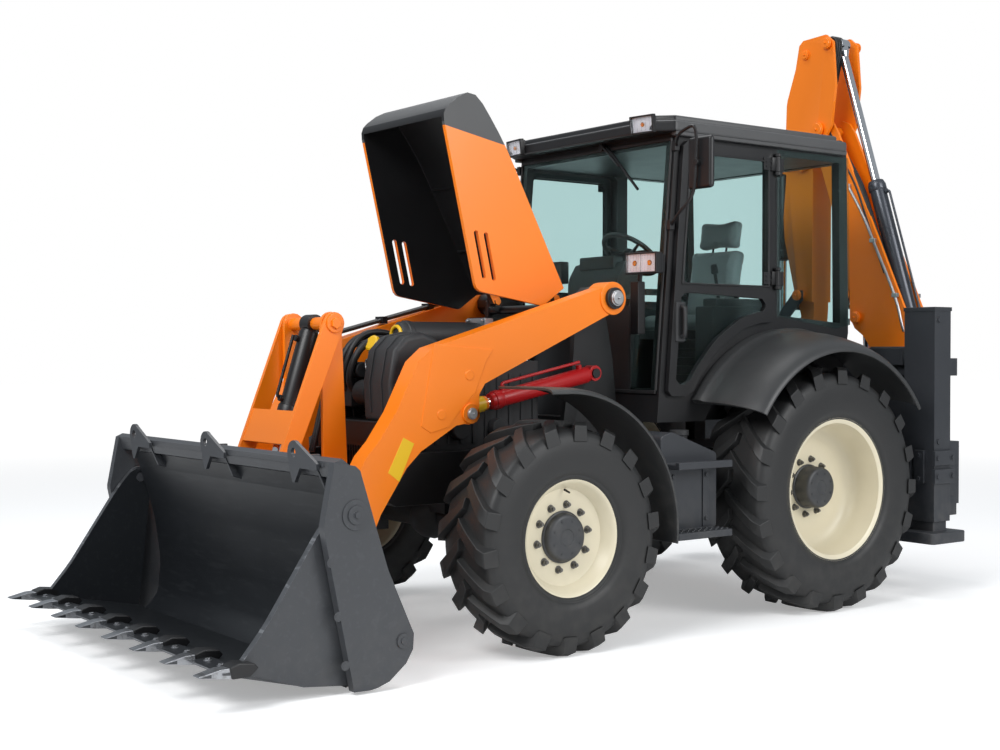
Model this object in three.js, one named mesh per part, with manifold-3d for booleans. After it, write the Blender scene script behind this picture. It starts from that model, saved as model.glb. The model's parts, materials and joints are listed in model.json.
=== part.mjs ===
// Backhoe loader: a four-wheel machine with a clam bucket on two front arms and a
// side-shifting digging arm folded behind its cab.  Millimetres, +X to the machine's left,
// +Y to its rear, +Z up, the ground at Z = 0.  Inside the machine group Y is measured from
// the rear axle; the group then moves so that the whole machine is centred on the origin.
import * as THREE from 'three';
import { mergeVertices } from 'three/addons/utils/BufferGeometryUtils.js';
import Module from 'manifold-3d';

const wasm = await Module();
wasm.setup();

// ---------------------------------------------------------------- driving dimensions
const fit = 0.3;                    // gap between faces that touch
const running = 1.2;                // radial gap of a pin in its bore
const sliding = 0.6;                // gap of a slide on its rail or in its sleeve
const rearAxleToCentre = 1135;      // from the machine's middle back to the rear axle

const wheelbase = 2030;
const front = { radius: 588, width: 400, centreX: 1000, bead: 285, segments: 20 };
const rear = { radius: 717, width: 460, centreX: 935, bead: 390, segments: 20 };
const hubRadius = 122;
const hubFaceFront = 1130;
const hubFaceRear = 1015;
const kingpinX = 790;

const chassisHalf = 400;            // outer face of the frame rails
const railWidth = 90;
const railBottom = 715;
const railTop = 930;
const tieBottom = 790;
const archTop = rear.radius + 117;  // underside of the rails over the rear axle
const chassisNose = -2700;
const chassisTail = 1040;

const armInner = 540;               // loader arm, inner and outer faces
const armOuter = 660;
const towerPlate = 35;
const liftRamX = 487;               // centre plane of each lift ram
const armPivot = [-1325, 1817];     // points in the side view are [y, z]
const liftBase = [-1330, 1400];
const liftEye = [-2294, 1202];
const bucketPivot = [-3040, 330];
const leverPivot = [-2830, 860];
const leverTop = [-2856, 1668];
const tiltEye = [-3100, 868];
const bucketLink = [-3200, 805];
const jawPivot = [-3333, 801];

const bucketHalf = 1250;
const bucketPlate = 48;             // thickness of the outer side plates
const moldboardHalf = 1140;
const jawHalf = 1188;
const edgeHalf = 1238;
const toothPitch = 345;
const toothCount = 8;

const cabHalf = 720;
const cabFloor = 1120;
const cabTop = 2765;
const cabFront = { bottom: -1045, top: -905 };
const cabRear = { bottom: 470, waist: 585, top: 560 };
const pillar = 60;
const roofHalf = 765;
const roofThickness = 105;
const glass = 8;

const fenderInner = cabHalf + fit;
const fenderOuter = 1205;

const rearFrameFace = 1060;         // front face of the rear frame
const railDepth = 100;
const legX = 1025;                  // centre of each stabiliser leg
const legWidth = 230;
const legDepth = 160;
const legY = 978;
const legTop = 1800;
const legBottom = 460;
const legWall = 14;
const footLift = 330;               // the raised foot's height above the ground

const kingpostX = 620;              // digging arm slewed to the left end of its rails
const kingpostY = 1500;
const digFoot = [220, 720];         // points on the digging arm are [reach, z]
const digRamBase = [420, 440];
const digRamEye = [500, 1760];
const dipperPivot = [820, 3100];
const dipperTail = [738, 3700];
const dipperRamBase = [60, 1535];
const digPivot = [980, 1620];
const digLink = [1070, 1464];
const bellPivot = [1010, 1930];
const bellLink = [1197, 1735];
const bellTip = [1288, 1642];
const digRamTop = [1275, 2900];

// ---------------------------------------------------------------- finishes
const finish = (color, roughness, metalness = 0) =>
  new THREE.MeshStandardMaterial({ color, roughness, metalness });
const orange = finish('#f0761b', 0.4);
const charcoal = finish('#3c4046', 0.55);
const black = finish('#1d1e20', 0.6);
const cream = finish('#e8dfc6', 0.5);
const red = finish('#9d1d1f', 0.45);
const rubber = finish('#26272a', 0.9);
const plastic = finish('#333436', 0.7);
const chrome = finish('#d8dadd', 0.15, 1);
const window = finish('#7f9ea0', 0.1);
const upholstery = finish('#4a4c50', 0.85);

// ---------------------------------------------------------------- solids
function solid(geometry) {
  const bare = geometry.clone();
  bare.deleteAttribute('normal');
  bare.deleteAttribute('uv');
  const merged = mergeVertices(bare, 1e-3);
  return new wasm.Manifold(new wasm.Mesh({
    numProp: 3,
    vertProperties: new Float32Array(merged.attributes.position.array),
    triVerts: new Uint32Array(merged.index.array),
  }));
}

const join = (...parts) => parts.reduce((whole, part) => whole.add(part));
const cut = (body, ...tools) => tools.reduce((rest, tool) => rest.subtract(tool), body);

// A closed outline whose corners may each carry a radius: [u, v] or [u, v, radius].
function rounded(corners) {
  const shape = new THREE.Shape();
  const points = corners.map(([u, v]) => new THREE.Vector2(u, v));
  corners.forEach(([, , radius = 0], i) => {
    const here = points[i];
    const before = points.at(i - 1);
    const after = points[(i + 1) % points.length];
    const room = 0.45 * Math.min(here.distanceTo(before), here.distanceTo(after));
    const setback = Math.min(radius, room);
    const start = here.clone().add(before.clone().sub(here).setLength(setback));
    const end = here.clone().add(after.clone().sub(here).setLength(setback));
    if (i === 0) shape.moveTo(start.x, start.y);
    else shape.lineTo(start.x, start.y);
    if (setback > 0) shape.quadraticCurveTo(here.x, here.y, end.x, end.y);
  });
  return shape;
}

// Profile planes: a side view drawn as [y, z], a digging arm view drawn as [reach, z],
// a front view drawn as [x, z] and a plan drawn as [x, y].
const basis = (u, v, w) => new THREE.Matrix4().makeBasis(
  new THREE.Vector3(...u), new THREE.Vector3(...v), new THREE.Vector3(...w));
const sideView = basis([0, 1, 0], [0, 0, 1], [1, 0, 0]);
const reachView = basis([-1, 0, 0], [0, 0, 1], [0, 1, 0]);
const frontView = basis([-1, 0, 0], [0, 0, 1], [0, 1, 0]);
const planView = basis([1, 0, 0], [0, 1, 0], [0, 0, 1]);

function slab(view, corners, from, to, curveSegments = 1) {
  const shape = Array.isArray(corners) ? rounded(corners) : corners;
  const geometry = new THREE.ExtrudeGeometry(shape, {
    depth: to - from, bevelEnabled: false, curveSegments,
  });
  return solid(geometry.translate(0, 0, from).applyMatrix4(view));
}

function box(x0, x1, y0, y1, z0, z1) {
  const geometry = new THREE.BoxGeometry(x1 - x0, y1 - y0, z1 - z0);
  return solid(geometry.translate((x0 + x1) / 2, (y0 + y1) / 2, (z0 + z1) / 2));
}

function bar(start, end, radius, sides = 10) {
  const from = new THREE.Vector3(...start);
  const along = new THREE.Vector3(...end).sub(from);
  const geometry = new THREE.CylinderGeometry(radius, radius, along.length(), sides);
  const turn = new THREE.Quaternion().setFromUnitVectors(
    new THREE.Vector3(0, 1, 0), along.clone().normalize());
  geometry.applyQuaternion(turn).translate(...from.addScaledVector(along, 0.5).toArray());
  return solid(geometry);
}

const across = ([y, z], radius, x0, x1, sides = 10) =>
  bar([x0, y, z], [x1, y, z], radius, sides);
const through = ([reach, z], radius, half, sides = 10) =>
  bar([-reach, -half, z], [-reach, half, z], radius, sides);

// A bore for a pin of the given radius, rounder than the pin so that the pin turns freely.
const boreSides = 16;
const boreAcross = (point, pin, x0, x1) => across(point, pin + running, x0, x1, boreSides);
const boreThrough = (point, pin, half) => through(point, pin + running, half, boreSides);

// A strip of plate between two points, with round ends, drawn in any profile plane.
function strip([u0, v0], [u1, v1], r0, r1 = r0) {
  const lean = Math.atan2(v1 - v0, u1 - u0);
  const spread = Math.acos((r0 - r1) / Math.hypot(u1 - u0, v1 - v0));
  const shape = new THREE.Shape();
  shape.absarc(u1, v1, r1, lean - spread, lean + spread);
  shape.absarc(u0, v0, r0, lean + spread, lean - spread + 2 * Math.PI);
  return shape;
}

function flipped(part) {
  const mesh = part.getMesh();
  const vertProperties = mesh.vertProperties.map((value, i) => (i % 3 === 0 ? -value : value));
  const triVerts = mesh.triVerts.slice().reverse();
  return new wasm.Manifold(new wasm.Mesh({ numProp: 3, vertProperties, triVerts }));
}
const bothSides = (part) => join(part, flipped(part));

const machine = new THREE.Group();
machine.name = 'machine';
machine.position.y = rearAxleToCentre;

function place(name, part, material, parent = machine) {
  const mesh = part.asOriginal().getMesh();
  const geometry = new THREE.BufferGeometry();
  geometry.setAttribute('position', new THREE.BufferAttribute(mesh.vertProperties, 3));
  geometry.setIndex(new THREE.BufferAttribute(mesh.triVerts, 1));
  geometry.computeVertexNormals();
  const node = new THREE.Mesh(geometry, material);
  node.name = name;
  parent.add(node);
  return node;
}

const sides = [['left', 1], ['right', -1]];
const onSide = (part, side) => (side > 0 ? part : flipped(part));

// ---------------------------------------------------------------- wheels
function turned(profile, segments) {
  const points = profile.map(([radius, x]) => new THREE.Vector2(radius, x));
  points.push(points[0].clone());
  return solid(new THREE.LatheGeometry(points, segments).rotateZ(-Math.PI / 2));
}

function tyreSolid({ radius, width, bead, segments }) {
  const half = width / 2;
  const beadHalf = half - 35;
  const tread = half * 0.8;
  const sidewall = (bead + radius) / 2;
  return turned([
    [bead, -beadHalf], [bead + 30, -beadHalf], [sidewall, -half],
    [radius - 45, -half + 8], [radius, -tread], [radius, tread],
    [radius - 45, half - 8], [sidewall, half], [bead + 30, beadHalf], [bead, beadHalf],
  ], segments);
}

function rimSolid({ width, centreX, bead, segments }, hubInner, hubFace, discX) {
  const beadHalf = width / 2 - 35;
  const well = bead - fit;
  const wall = 12;
  const disc = discX - centreX;
  return turned([
    [0, hubInner - centreX], [hubRadius, hubInner - centreX],
    [hubRadius, disc - wall], [well - wall, disc - wall - 20],
    [well - wall, -beadHalf - 14], [bead + 24, -beadHalf - 14],
    [bead + 24, -beadHalf - fit], [well, -beadHalf - fit],
    [well, beadHalf + fit], [bead + 24, beadHalf + fit], [bead + 24, beadHalf + 14],
    [well - wall, beadHalf + 14], [well - wall, disc + 10],
    [hubRadius, disc + wall], [hubRadius, hubFace - centreX], [0, hubFace - centreX],
  ], segments);
}

const frontHubInner = 900;
const rearHubInner = 762;
const axleSets = [
  ['front', front, -wheelbase, frontHubInner, hubFaceFront, 1085],
  ['rear', rear, 0, rearHubInner, hubFaceRear, 905],
];
for (const [end, wheel, y, hubInner, hubFace, discX] of axleSets) {
  const tyre = tyreSolid(wheel);
  const rim = rimSolid(wheel, hubInner, hubFace, discX);
  for (const [label, side] of sides) {
    const tyreNode = place(`tyre_${end}_${label}`, onSide(tyre, side), rubber);
    const rimNode = place(`rim_${end}_${label}`, onSide(rim, side), cream);
    for (const node of [tyreNode, rimNode]) {
      node.position.set(side * wheel.centreX, y, wheel.radius);
    }
  }
}

// ---------------------------------------------------------------- chassis and axles
const rearTower = [armPivot[0] + 160, armPivot[0] - 90];
function chassisFrame() {
  const rail = slab(sideView, [
    [chassisNose, railBottom + 60], [chassisNose, railTop + 60, 30],
    [-1500, railTop + 60, 60], [-1200, railTop, 60], [chassisTail, railTop],
    [chassisTail, railBottom], [430, railBottom], [300, archTop], [-300, archTop],
    [-430, railBottom], [chassisNose + 120, railBottom],
  ], chassisHalf - railWidth, chassisHalf);
  const inner = chassisHalf - railWidth;
  const ties = [
    [chassisNose, chassisNose + 80], [-wheelbase - 100, -wheelbase + 100], [-1520, -1400],
    [-520, -420], [chassisTail - 60, chassisTail],
  ].map(([y0, y1]) => box(-inner - 5, inner + 5, y0, y1, tieBottom, railTop - 20));
  const gearbox = box(-240, 240, -1300, -560, 560, 880);
  return join(bothSides(rail), ...ties, gearbox, box(-250, 250, -1410, -1290, 730, 860),
    box(-250, 250, -570, -430, 730, 860));
}
place('chassis_frame', chassisFrame(), black);

const engineFront = -2330;
const engineMount = bothSides(box(280, chassisHalf - railWidth - fit, -2000, -1900, 935, 975));
place('engine_block', join(
  box(-290, 290, engineFront, -1560, 925, 1470),
  box(-180, 180, -1561, -1525, 960, 1250),
  engineMount,
), black);
place('radiator', join(
  box(-370, 370, chassisNose + 90, engineFront - 120, railTop + 60 + fit, 1560),
  box(-330, 330, engineFront - 121, engineFront - 20, 1010, 1540),
), black);

const frontAxleZ = front.radius;
const yokeGap = 104;
function frontAxle() {
  const y = -wheelbase;
  const beam = bar([-kingpinX + 110, y, frontAxleZ], [kingpinX - 110, y, frontAxleZ], 68);
  const ball = solid(new THREE.SphereGeometry(155, 12, 6)
    .scale(0.8, 1, 0.82).translate(-60, y, frontAxleZ));
  const saddle = box(-170, 170, y - 90, y + 90, frontAxleZ + 40, tieBottom - fit);
  const yokeReach = yokeGap + 28;
  const yoke = [[yokeGap, yokeReach], [-yokeReach, -yokeGap]].map(([z0, z1]) =>
    box(kingpinX - 145, kingpinX + 45, y - 55, y + 55, frontAxleZ + z0, frontAxleZ + z1));
  const web = box(kingpinX - 150, kingpinX - 100, y - 55, y + 55,
    frontAxleZ - yokeReach, frontAxleZ + yokeReach);
  const pin = bar([kingpinX, y, frontAxleZ - yokeGap - 30],
    [kingpinX, y, frontAxleZ + yokeGap + 30], 28);
  return join(beam, ball, saddle, bothSides(join(...yoke, web, pin)));
}
place('front_axle', frontAxle(), black);

function knuckle() {
  const y = -wheelbase;
  const block = box(kingpinX - 45, kingpinX + 80, y - 75, y + 75,
    frontAxleZ - yokeGap + 6, frontAxleZ + yokeGap - 6);
  const hub = bar([kingpinX + 60, y, frontAxleZ], [frontHubInner - fit, y, frontAxleZ], 92);
  const steeringArm = box(kingpinX - 40, kingpinX + 30, y + 70, y + 185,
    frontAxleZ - 25, frontAxleZ + 15);
  const bore = bar([kingpinX, y, frontAxleZ - 200], [kingpinX, y, frontAxleZ + 200],
    28 + running, boreSides);
  return cut(join(block, hub, steeringArm), bore);
}
for (const [label, side] of sides) place(`knuckle_${label}`, onSide(knuckle(), side), black);

function rearAxle() {
  const z = rear.radius;
  const reach = rearHubInner - fit;
  const beam = bar([-reach, 0, z], [reach, 0, z], 105, 16);
  const ball = solid(new THREE.SphereGeometry(200, 12, 6).scale(0.95, 1, 0.9).translate(0, 0, z));
  const flange = bothSides(bar([reach - 40, 0, z], [reach, 0, z], 150, 16));
  const pads = bothSides(box(chassisHalf - railWidth, chassisHalf, -90, 90, z, archTop - fit));
  return join(beam, ball, flange, pads);
}
place('rear_axle', rearAxle(), black);

// ---------------------------------------------------------------- loader arms
const pinRadius = 42;
const hoodHinge = [-1449, 1823];
const hoodTubeAt = [-1378, 1772];
const hoodPin = 22;
function loaderTower() {
  const [y, z] = armPivot;
  const plate = slab(sideView, [
    [y - 75, z + 70, 60], [y + 110, z + 70, 60], [y + 190, 1500], [rearTower[0] + 120, railBottom + 30],
    [rearTower[1] - 130, railBottom + 30], [rearTower[1] - 60, 1250], [y - 95, 1500],
  ], chassisHalf + fit, chassisHalf + fit + towerPlate);
  const face = chassisHalf + fit + towerPlate;
  const pivotPin = across(armPivot, pinRadius, chassisHalf + fit, armOuter + 26);
  const spacer = across(armPivot, 70, face - 5, armInner - 5);
  const ramPin = across(liftBase, 28, face - 5, armInner - 8);
  const beam = box(-chassisHalf - 10, chassisHalf + 10, y + 40, y + 170, railTop + 70, railTop + 210);
  const hoodTube = across(hoodTubeAt, 24, -chassisHalf - 10, chassisHalf + 10);
  const hoodEye = cut(slab(sideView, strip(hoodTubeAt, hoodHinge, 24, 36), 292, 318),
    boreAcross(hoodHinge, hoodPin, 200, 400));
  return join(bothSides(join(plate, pivotPin, spacer, ramPin, hoodEye)), beam, hoodTube);
}
place('loader_tower', loaderTower(), black);

const armBoss = 92;
function loaderArm() {
  const body = slab(sideView, [
    [armPivot[0] - 40, armPivot[1] + 66], [-2587, 1523, 60], [-2786, 1141, 90],
    [-2960, 956, 60], [bucketPivot[0] - 74, bucketPivot[1] + 20],
    [bucketPivot[0] + 60, bucketPivot[1] - 50], [-2868, 668, 60], [-2650, 988, 60],
    [liftEye[0] - 62, liftEye[1] - 45, 30], [liftEye[0] + 12, liftEye[1] - 62, 20],
    [liftEye[0] + 58, liftEye[1] + 20, 20], [-2237, 1339, 40], [armPivot[0] - 30, armPivot[1] - 92],
  ], armInner, armOuter);
  const rootBoss = across(armPivot, armBoss, armInner, armOuter, 16);
  const tipBoss = across(bucketPivot, 78, armInner, armOuter, 14);
  const eyeBoss = across(liftEye, 52, armOuter - 10, armOuter + 14);
  const bore = boreAcross(armPivot, pinRadius, armInner - 20, armOuter + 40);
  return cut(join(body, rootBoss, tipBoss, eyeBoss), bore);
}

function loaderArms() {
  const lugY = leverPivot[0] - 185;
  const leverTube = across(leverPivot, 50, -armInner - 5, armInner + 5, 14);
  const frontTube = across([lugY, 790], 52, -armInner - 5, armInner + 5, 14);
  const lug = slab(sideView, strip([lugY, 790], tiltEye, 62, 42), 62, 84, 4);
  const tipPins = across(bucketPivot, 34, armInner - 62, armOuter + 62);
  return join(bothSides(join(loaderArm(), tipPins, lug)), leverTube, frontTube);
}
place('loader_arms', loaderArms(), orange);

// A hydraulic ram in any profile plane: barrel with its base eye, rod with its open eye.
function ramBarrel(view, base, eye, { radius, length, half, pin, bore, offset = 0 }) {
  const along = new THREE.Vector2(eye[0] - base[0], eye[1] - base[1]).normalize();
  const at = (d) => [base[0] + along.x * d, base[1] + along.y * d];
  const eyeDisc = slab(view, strip(base, at(radius), radius * 0.95), offset - half, offset + half, 4);
  const tube = ramTube(view, at(radius * 0.9), at(length), radius, offset);
  const gland = ramTube(view, at(length - 70), at(length), radius + 8, offset);
  const reach = view === sideView ? boreAcross(base, pin, offset - 200, offset + 200)
    : boreThrough(base, pin, 200);
  return cut(join(eyeDisc, tube, gland), reach, ramTube(view, at(length - bore), at(length + 50),
    radius * 0.56 + fit, offset));
}

function ramRod(view, base, eye, { radius, length, half, overlap, offset = 0 }) {
  const along = new THREE.Vector2(eye[0] - base[0], eye[1] - base[1]).normalize();
  const from = [base[0] + along.x * (length - overlap), base[1] + along.y * (length - overlap)];
  const back = [eye[0] - along.x * radius * 0.8, eye[1] - along.y * radius * 0.8];
  const shaft = ramTube(view, from, back, radius * 0.56, offset);
  return join(shaft, slab(view, strip(eye, back, radius * 0.85), offset - half, offset + half, 4));
}

function ramTube(view, [u0, v0], [u1, v1], radius, offset) {
  const start = new THREE.Vector3(u0, v0, offset).applyMatrix4(view);
  const end = new THREE.Vector3(u1, v1, offset).applyMatrix4(view);
  return bar(start.toArray(), end.toArray(), radius);
}

const liftRam = {
  radius: 46, length: 900, half: 34, pin: 28, bore: 620, overlap: 600, offset: liftRamX,
};
for (const [label, side] of sides) {
  const barrel = ramBarrel(sideView, liftBase, liftEye, liftRam);
  const rod = join(ramRod(sideView, liftBase, liftEye, liftRam),
    across(liftEye, 26, liftRamX, armInner - 5));
  place(`lift_barrel_${label}`, onSide(barrel, side), red);
  place(`lift_rod_${label}`, onSide(rod, side), chrome);
}

const leverInner = 188;
const leverOuter = 212;
const linkInner = 222;
const linkOuter = 246;
function tiltLever() {
  const plates = bothSides(cut(slab(sideView, strip(leverPivot, leverTop, 72, 60), leverInner, leverOuter, 4),
    boreAcross(leverPivot, 50, 0, 400)));
  const shaft = across(leverTop, 34, -linkOuter - 12, linkOuter + 12);
  return join(plates, shaft);
}
place('tilt_lever', tiltLever(), orange);

function tiltLink() {
  const plates = bothSides(cut(slab(sideView, strip(leverTop, bucketLink, 58, 44), linkInner, linkOuter, 4),
    boreAcross(leverTop, 34, 0, 400)));
  const along = new THREE.Vector2(bucketLink[0] - leverTop[0], bucketLink[1] - leverTop[1]).normalize();
  const on = (d, off) => [
    leverTop[0] + along.x * d + along.y * off,
    leverTop[1] + along.y * d - along.x * off,
  ];
  const tie = slab(sideView, [on(500, 30), on(680, 28), on(680, 43), on(500, 46)],
    -linkOuter + 5, linkOuter - 5);
  return join(plates, tie);
}
place('tilt_link', tiltLink(), orange);

const tiltRam = { radius: 52, length: 525, half: 46, pin: 34, bore: 445, overlap: 215 };
place('tilt_barrel', ramBarrel(sideView, leverTop, tiltEye, tiltRam), black);
place('tilt_rod', ramRod(sideView, leverTop, tiltEye, tiltRam), chrome);

// ---------------------------------------------------------------- clam bucket
function bucketBack() {
  const shell = slab(sideView, [
    [-3436, 1036], [-3400, 1052], [-3355, 1000, 30], [-3262, 760, 120], [-3190, 480, 120],
    [-3178, 220, 60], [-3215, 60, 40], [-3318, 14], [-3330, 40], [-3248, 92, 40],
    [-3214, 235, 60], [-3226, 470, 120], [-3300, 762, 120], [-3392, 1000, 20], [-3430, 1010],
  ], -moldboardHalf, moldboardHalf);
  const lip = slab(sideView, [[-3436, 1036], [-3400, 1052], [-3345, 1010], [-3375, 955], [-3412, 965]],
    -bucketHalf + 5, bucketHalf - 5);
  const cheek = slab(sideView, [
    [-3438, 1036], [-3314, 1014, 20], [-3231, 751], [-3164, 545], [-3010, 206, 40],
    [-3100, 60, 60], [-3237, 14, 20], [-3340, 16], [-3493, 750, 10],
  ], bucketHalf - bucketPlate, bucketHalf);
  const ear = slab(sideView, [
    [-3235, 560], [-3170, 560, 30], [bucketPivot[0] + 62, bucketPivot[1] + 52, 50],
    [bucketPivot[0] + 62, bucketPivot[1] - 62, 50], [-3150, 170, 30], [-3196, 170],
  ], armInner - 62, armInner - 34);
  const earOuter = slab(sideView, [
    [-3235, 560], [-3170, 560, 30], [bucketPivot[0] + 62, bucketPivot[1] + 52, 50],
    [bucketPivot[0] + 62, bucketPivot[1] - 62, 50], [-3150, 170, 30], [-3196, 170],
  ], armOuter + 34, armOuter + 62);
  const linkLug = slab(sideView, [
    [-3290, 900], [-3230, 880, 30], [bucketLink[0] + 52, bucketLink[1] + 20, 40],
    [bucketLink[0] + 40, bucketLink[1] - 60, 40], [-3235, 640], [-3262, 700],
  ], linkOuter + 10, linkOuter + 34);
  const sideTube = across([-3086, 201], 40, moldboardHalf - 30, bucketHalf - 5);
  const tubeWeb = slab(sideView, [[-3196, 260], [-3086, 235], [-3086, 168], [-3196, 120]],
    moldboardHalf - 30, moldboardHalf);
  const boss = across(jawPivot, 44, bucketHalf - 20, bucketHalf);
  const bore = boreAcross(bucketPivot, 34, 0, 1000);
  const half = join(cheek, ear, earOuter, linkLug, sideTube, tubeWeb, boss);
  const jawPin = across(jawPivot, 26, moldboardHalf + 6, bucketHalf - 5);
  return join(shell, lip, bothSides(join(cut(half, bore), jawPin)), ...hooks());
}

// Three lifting hooks stand on the bucket's top edge.
function hooks() {
  return [-1050, 0, 950].map((x) => slab(sideView, [
    [-3420, 1025], [-3432, 1085], [-3350, 1085], [-3345, 1005],
  ], x - 12, x + 12));
}
place('bucket_back', bucketBack(), charcoal);

function bucketJaw() {
  const floor = slab(sideView, [
    [-3345, 36], [-3345, 14 + 54], [-3860, 176], [-3945, 178], [-3945, 160], [-3700, 96], [-3560, 60],
  ], -jawHalf + 5, jawHalf - 5);
  const cheek = slab(sideView, [
    [-3885, 166], [-3741, 337, 30], [-3470, 742, 40], [jawPivot[0] - 60, jawPivot[1] + 30],
    [jawPivot[0] + 10, jawPivot[1] + 66, 40], [jawPivot[0] + 66, jawPivot[1] - 20, 30],
    [-3345, 36], [-3560, 58],
  ], moldboardHalf + 10, jawHalf);
  const edge = slab(sideView, [[-3855, 160], [-3860, 182], [-3965, 180], [-3965, 172]],
    -edgeHalf, edgeHalf);
  const bore = boreAcross(jawPivot, 26, 0, 1400);
  const teeth = [];
  for (let i = 0; i < toothCount; i += 1) {
    const x = (i - (toothCount - 1) / 2) * toothPitch * (edgeHalf / bucketHalf);
    teeth.push(slab(sideView, [[-3900, 190], [-3960, 192], [-4070, 172], [-3900, 154]], x - 34, x + 34));
  }
  return join(floor, bothSides(cut(cheek, bore)), edge, ...teeth);
}
place('bucket_jaw', bucketJaw(), charcoal);

// ---------------------------------------------------------------- hood, stored raised
const hoodOpen = THREE.MathUtils.degToRad(68);
const hoodSlope = THREE.MathUtils.degToRad(6);
const hoodHalf = 420;
function hood() {
  const lean = hoodOpen - hoodSlope;
  const at = (ahead, down) => [
    hoodHinge[0] - ahead * Math.cos(lean) - down * Math.sin(lean),
    hoodHinge[1] + ahead * Math.sin(lean) - down * Math.cos(lean),
  ];
  const bent = (points) => points.map(([ahead, down, radius = 0]) => [...at(ahead, down), radius]);
  const outer = slab(sideView, bent([
    [62, 0], [960, 0, 200], [1300, 55, 140], [1262, 300, 60], [320, 548, 40], [40, 180, 20],
  ]), -hoodHalf, hoodHalf, 3);
  const inner = slab(sideView, bent([
    [-60, 24], [950, 24, 190], [1270, 78, 130], [1236, 280, 60], [1200, 400], [320, 640], [-60, 300],
  ]), -hoodHalf + 24, hoodHalf - 24, 3);
  const lugs = bothSides(join(slab(sideView, strip(hoodHinge, at(130, 18), 30, 16), 250, 286),
    across(hoodHinge, hoodPin, 240, 322)));
  return join(cut(outer, inner), lugs);
}
place('hood', hood(), orange);

// ---------------------------------------------------------------- cab
const frontAt = (z) => THREE.MathUtils.mapLinear(z, cabFloor, cabTop, cabFront.bottom, cabFront.top);
const arcPoints = (wheel, radius, from, to, steps) => {
  const points = [];
  for (let i = 0; i <= steps; i += 1) {
    const turn = THREE.MathUtils.degToRad(from + (to - from) * i / steps);
    points.push([wheel[0] + radius * Math.cos(turn), wheel[1] + radius * Math.sin(turn)]);
  }
  return points;
};

const doorRear = -140;
const doorSill = 1290;
const doorHead = 2700;
const doorFront = (z) => frontAt(z) + 62;
const doorOutline = (inset) => [
  [doorFront(doorHead) + inset, doorHead - inset, 30], [doorFront(doorSill) + inset, doorSill + inset, 30],
  [-815 - inset * 0.4, doorSill + inset, 40], [-690, 1475 + inset, 120], [-500, 1630 + inset, 120],
  [-300, 1708 + inset, 60], [doorRear - inset, 1722 + inset, 20], [doorRear - inset, doorHead - inset, 30],
];
const quarterFront = -45;
const archRadius = rear.radius + 73; // wheel arch under each side of the cab
const hingeX = cabHalf + 50;
const hingeY = doorRear + 22;
const hingeHalf = 45;
const doorHinges = [2640, 1960];
const waist = 1700;

function cabShell() {
  const outline = (inset) => [
    [frontAt(cabTop) + inset, cabTop - inset], [frontAt(cabFloor) + inset, cabFloor + inset],
    [cabRear.bottom - inset, cabFloor + inset], [cabRear.waist - inset, 1640],
    [cabRear.top - inset, cabTop - inset],
  ];
  const axle = [0, rear.radius];
  const arch = bothSides(across(axle, archRadius + 45, cabHalf - 120, cabHalf + 10, 28));
  const cavity = cut(slab(sideView, outline(pillar), -cabHalf + pillar, cabHalf - pillar), arch);
  const shell = cut(slab(sideView, outline(0), -cabHalf, cabHalf), cavity,
    bothSides(across(axle, archRadius, cabHalf - 75, cabHalf + 10, 28)));
  const feet = bothSides(join(...[[-960, -860], [250, 350]].map(([y0, y1]) =>
    box(chassisHalf - railWidth, chassisHalf, y0, y1, railTop + fit, cabFloor + 5))));
  const hinges = bothSides(join(...doorHinges.map((z) => join(
    bar([hingeX, hingeY, z - hingeHalf - 22], [hingeX, hingeY, z - hingeHalf - fit], 16),
    box(cabHalf - 5, hingeX, hingeY + 4, hingeY + 42, z - hingeHalf - 22, z - hingeHalf - fit)))));
  const door = slab(sideView, doorOutline(-5), -cabHalf - 50, cabHalf + 50);
  const quarter = slab(sideView, [
    [quarterFront, waist + 40], [quarterFront, doorHead], [cabRear.top - 70, doorHead],
    [cabRear.waist - 80, waist],
  ], -cabHalf - 50, cabHalf + 50);
  const inner = cabHalf - pillar - 10;
  const frontWindow = slab(frontView, [
    [-inner, 1310], [-hoodHalf - 40, 1310], [-hoodHalf - 40, 1830], [hoodHalf + 40, 1830],
    [hoodHalf + 40, 1310], [inner, 1310], [inner, doorHead], [-inner, doorHead],
  ], cabFront.bottom - 50, cabFront.top + 90);
  const rearWindow = box(-inner, inner, cabRear.top - 90, cabRear.waist + 50, waist, doorHead);
  return join(cut(shell, door, quarter, frontWindow, rearWindow), feet, hinges);
}
place('cab_frame', cabShell(), black);

const roofOver = { front: 130, rear: 60 };
function cabRoof() {
  const z = cabTop + fit;
  const outline = [
    [-roofHalf, frontAt(cabTop) - roofOver.front, 90], [roofHalf, frontAt(cabTop) - roofOver.front, 90],
    [roofHalf, cabRear.top + roofOver.rear, 110], [-roofHalf, cabRear.top + roofOver.rear, 110],
  ];
  const lower = slab(planView, outline, z, z + roofThickness * 0.62);
  const crown = slab(planView, outline.map(([x, y, r]) => [x * 0.93, y * 0.95, r]),
    z + roofThickness * 0.62 - 1, z + roofThickness);
  return join(lower, crown);
}
place('cab_roof', cabRoof(), charcoal);

function windscreen() {
  const edge = cabHalf - 20;
  const pane = slab(sideView, [
    [frontAt(1285) - fit, 1285], [frontAt(2740) - fit, 2740],
    [frontAt(2740) - fit - glass, 2740], [frontAt(1285) - fit - glass, 1285],
  ], -edge, edge);
  return cut(pane, box(-hoodHalf - 60, hoodHalf + 60, -1200, -900, 1200, 1790));
}
place('windscreen', windscreen(), window);

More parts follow.
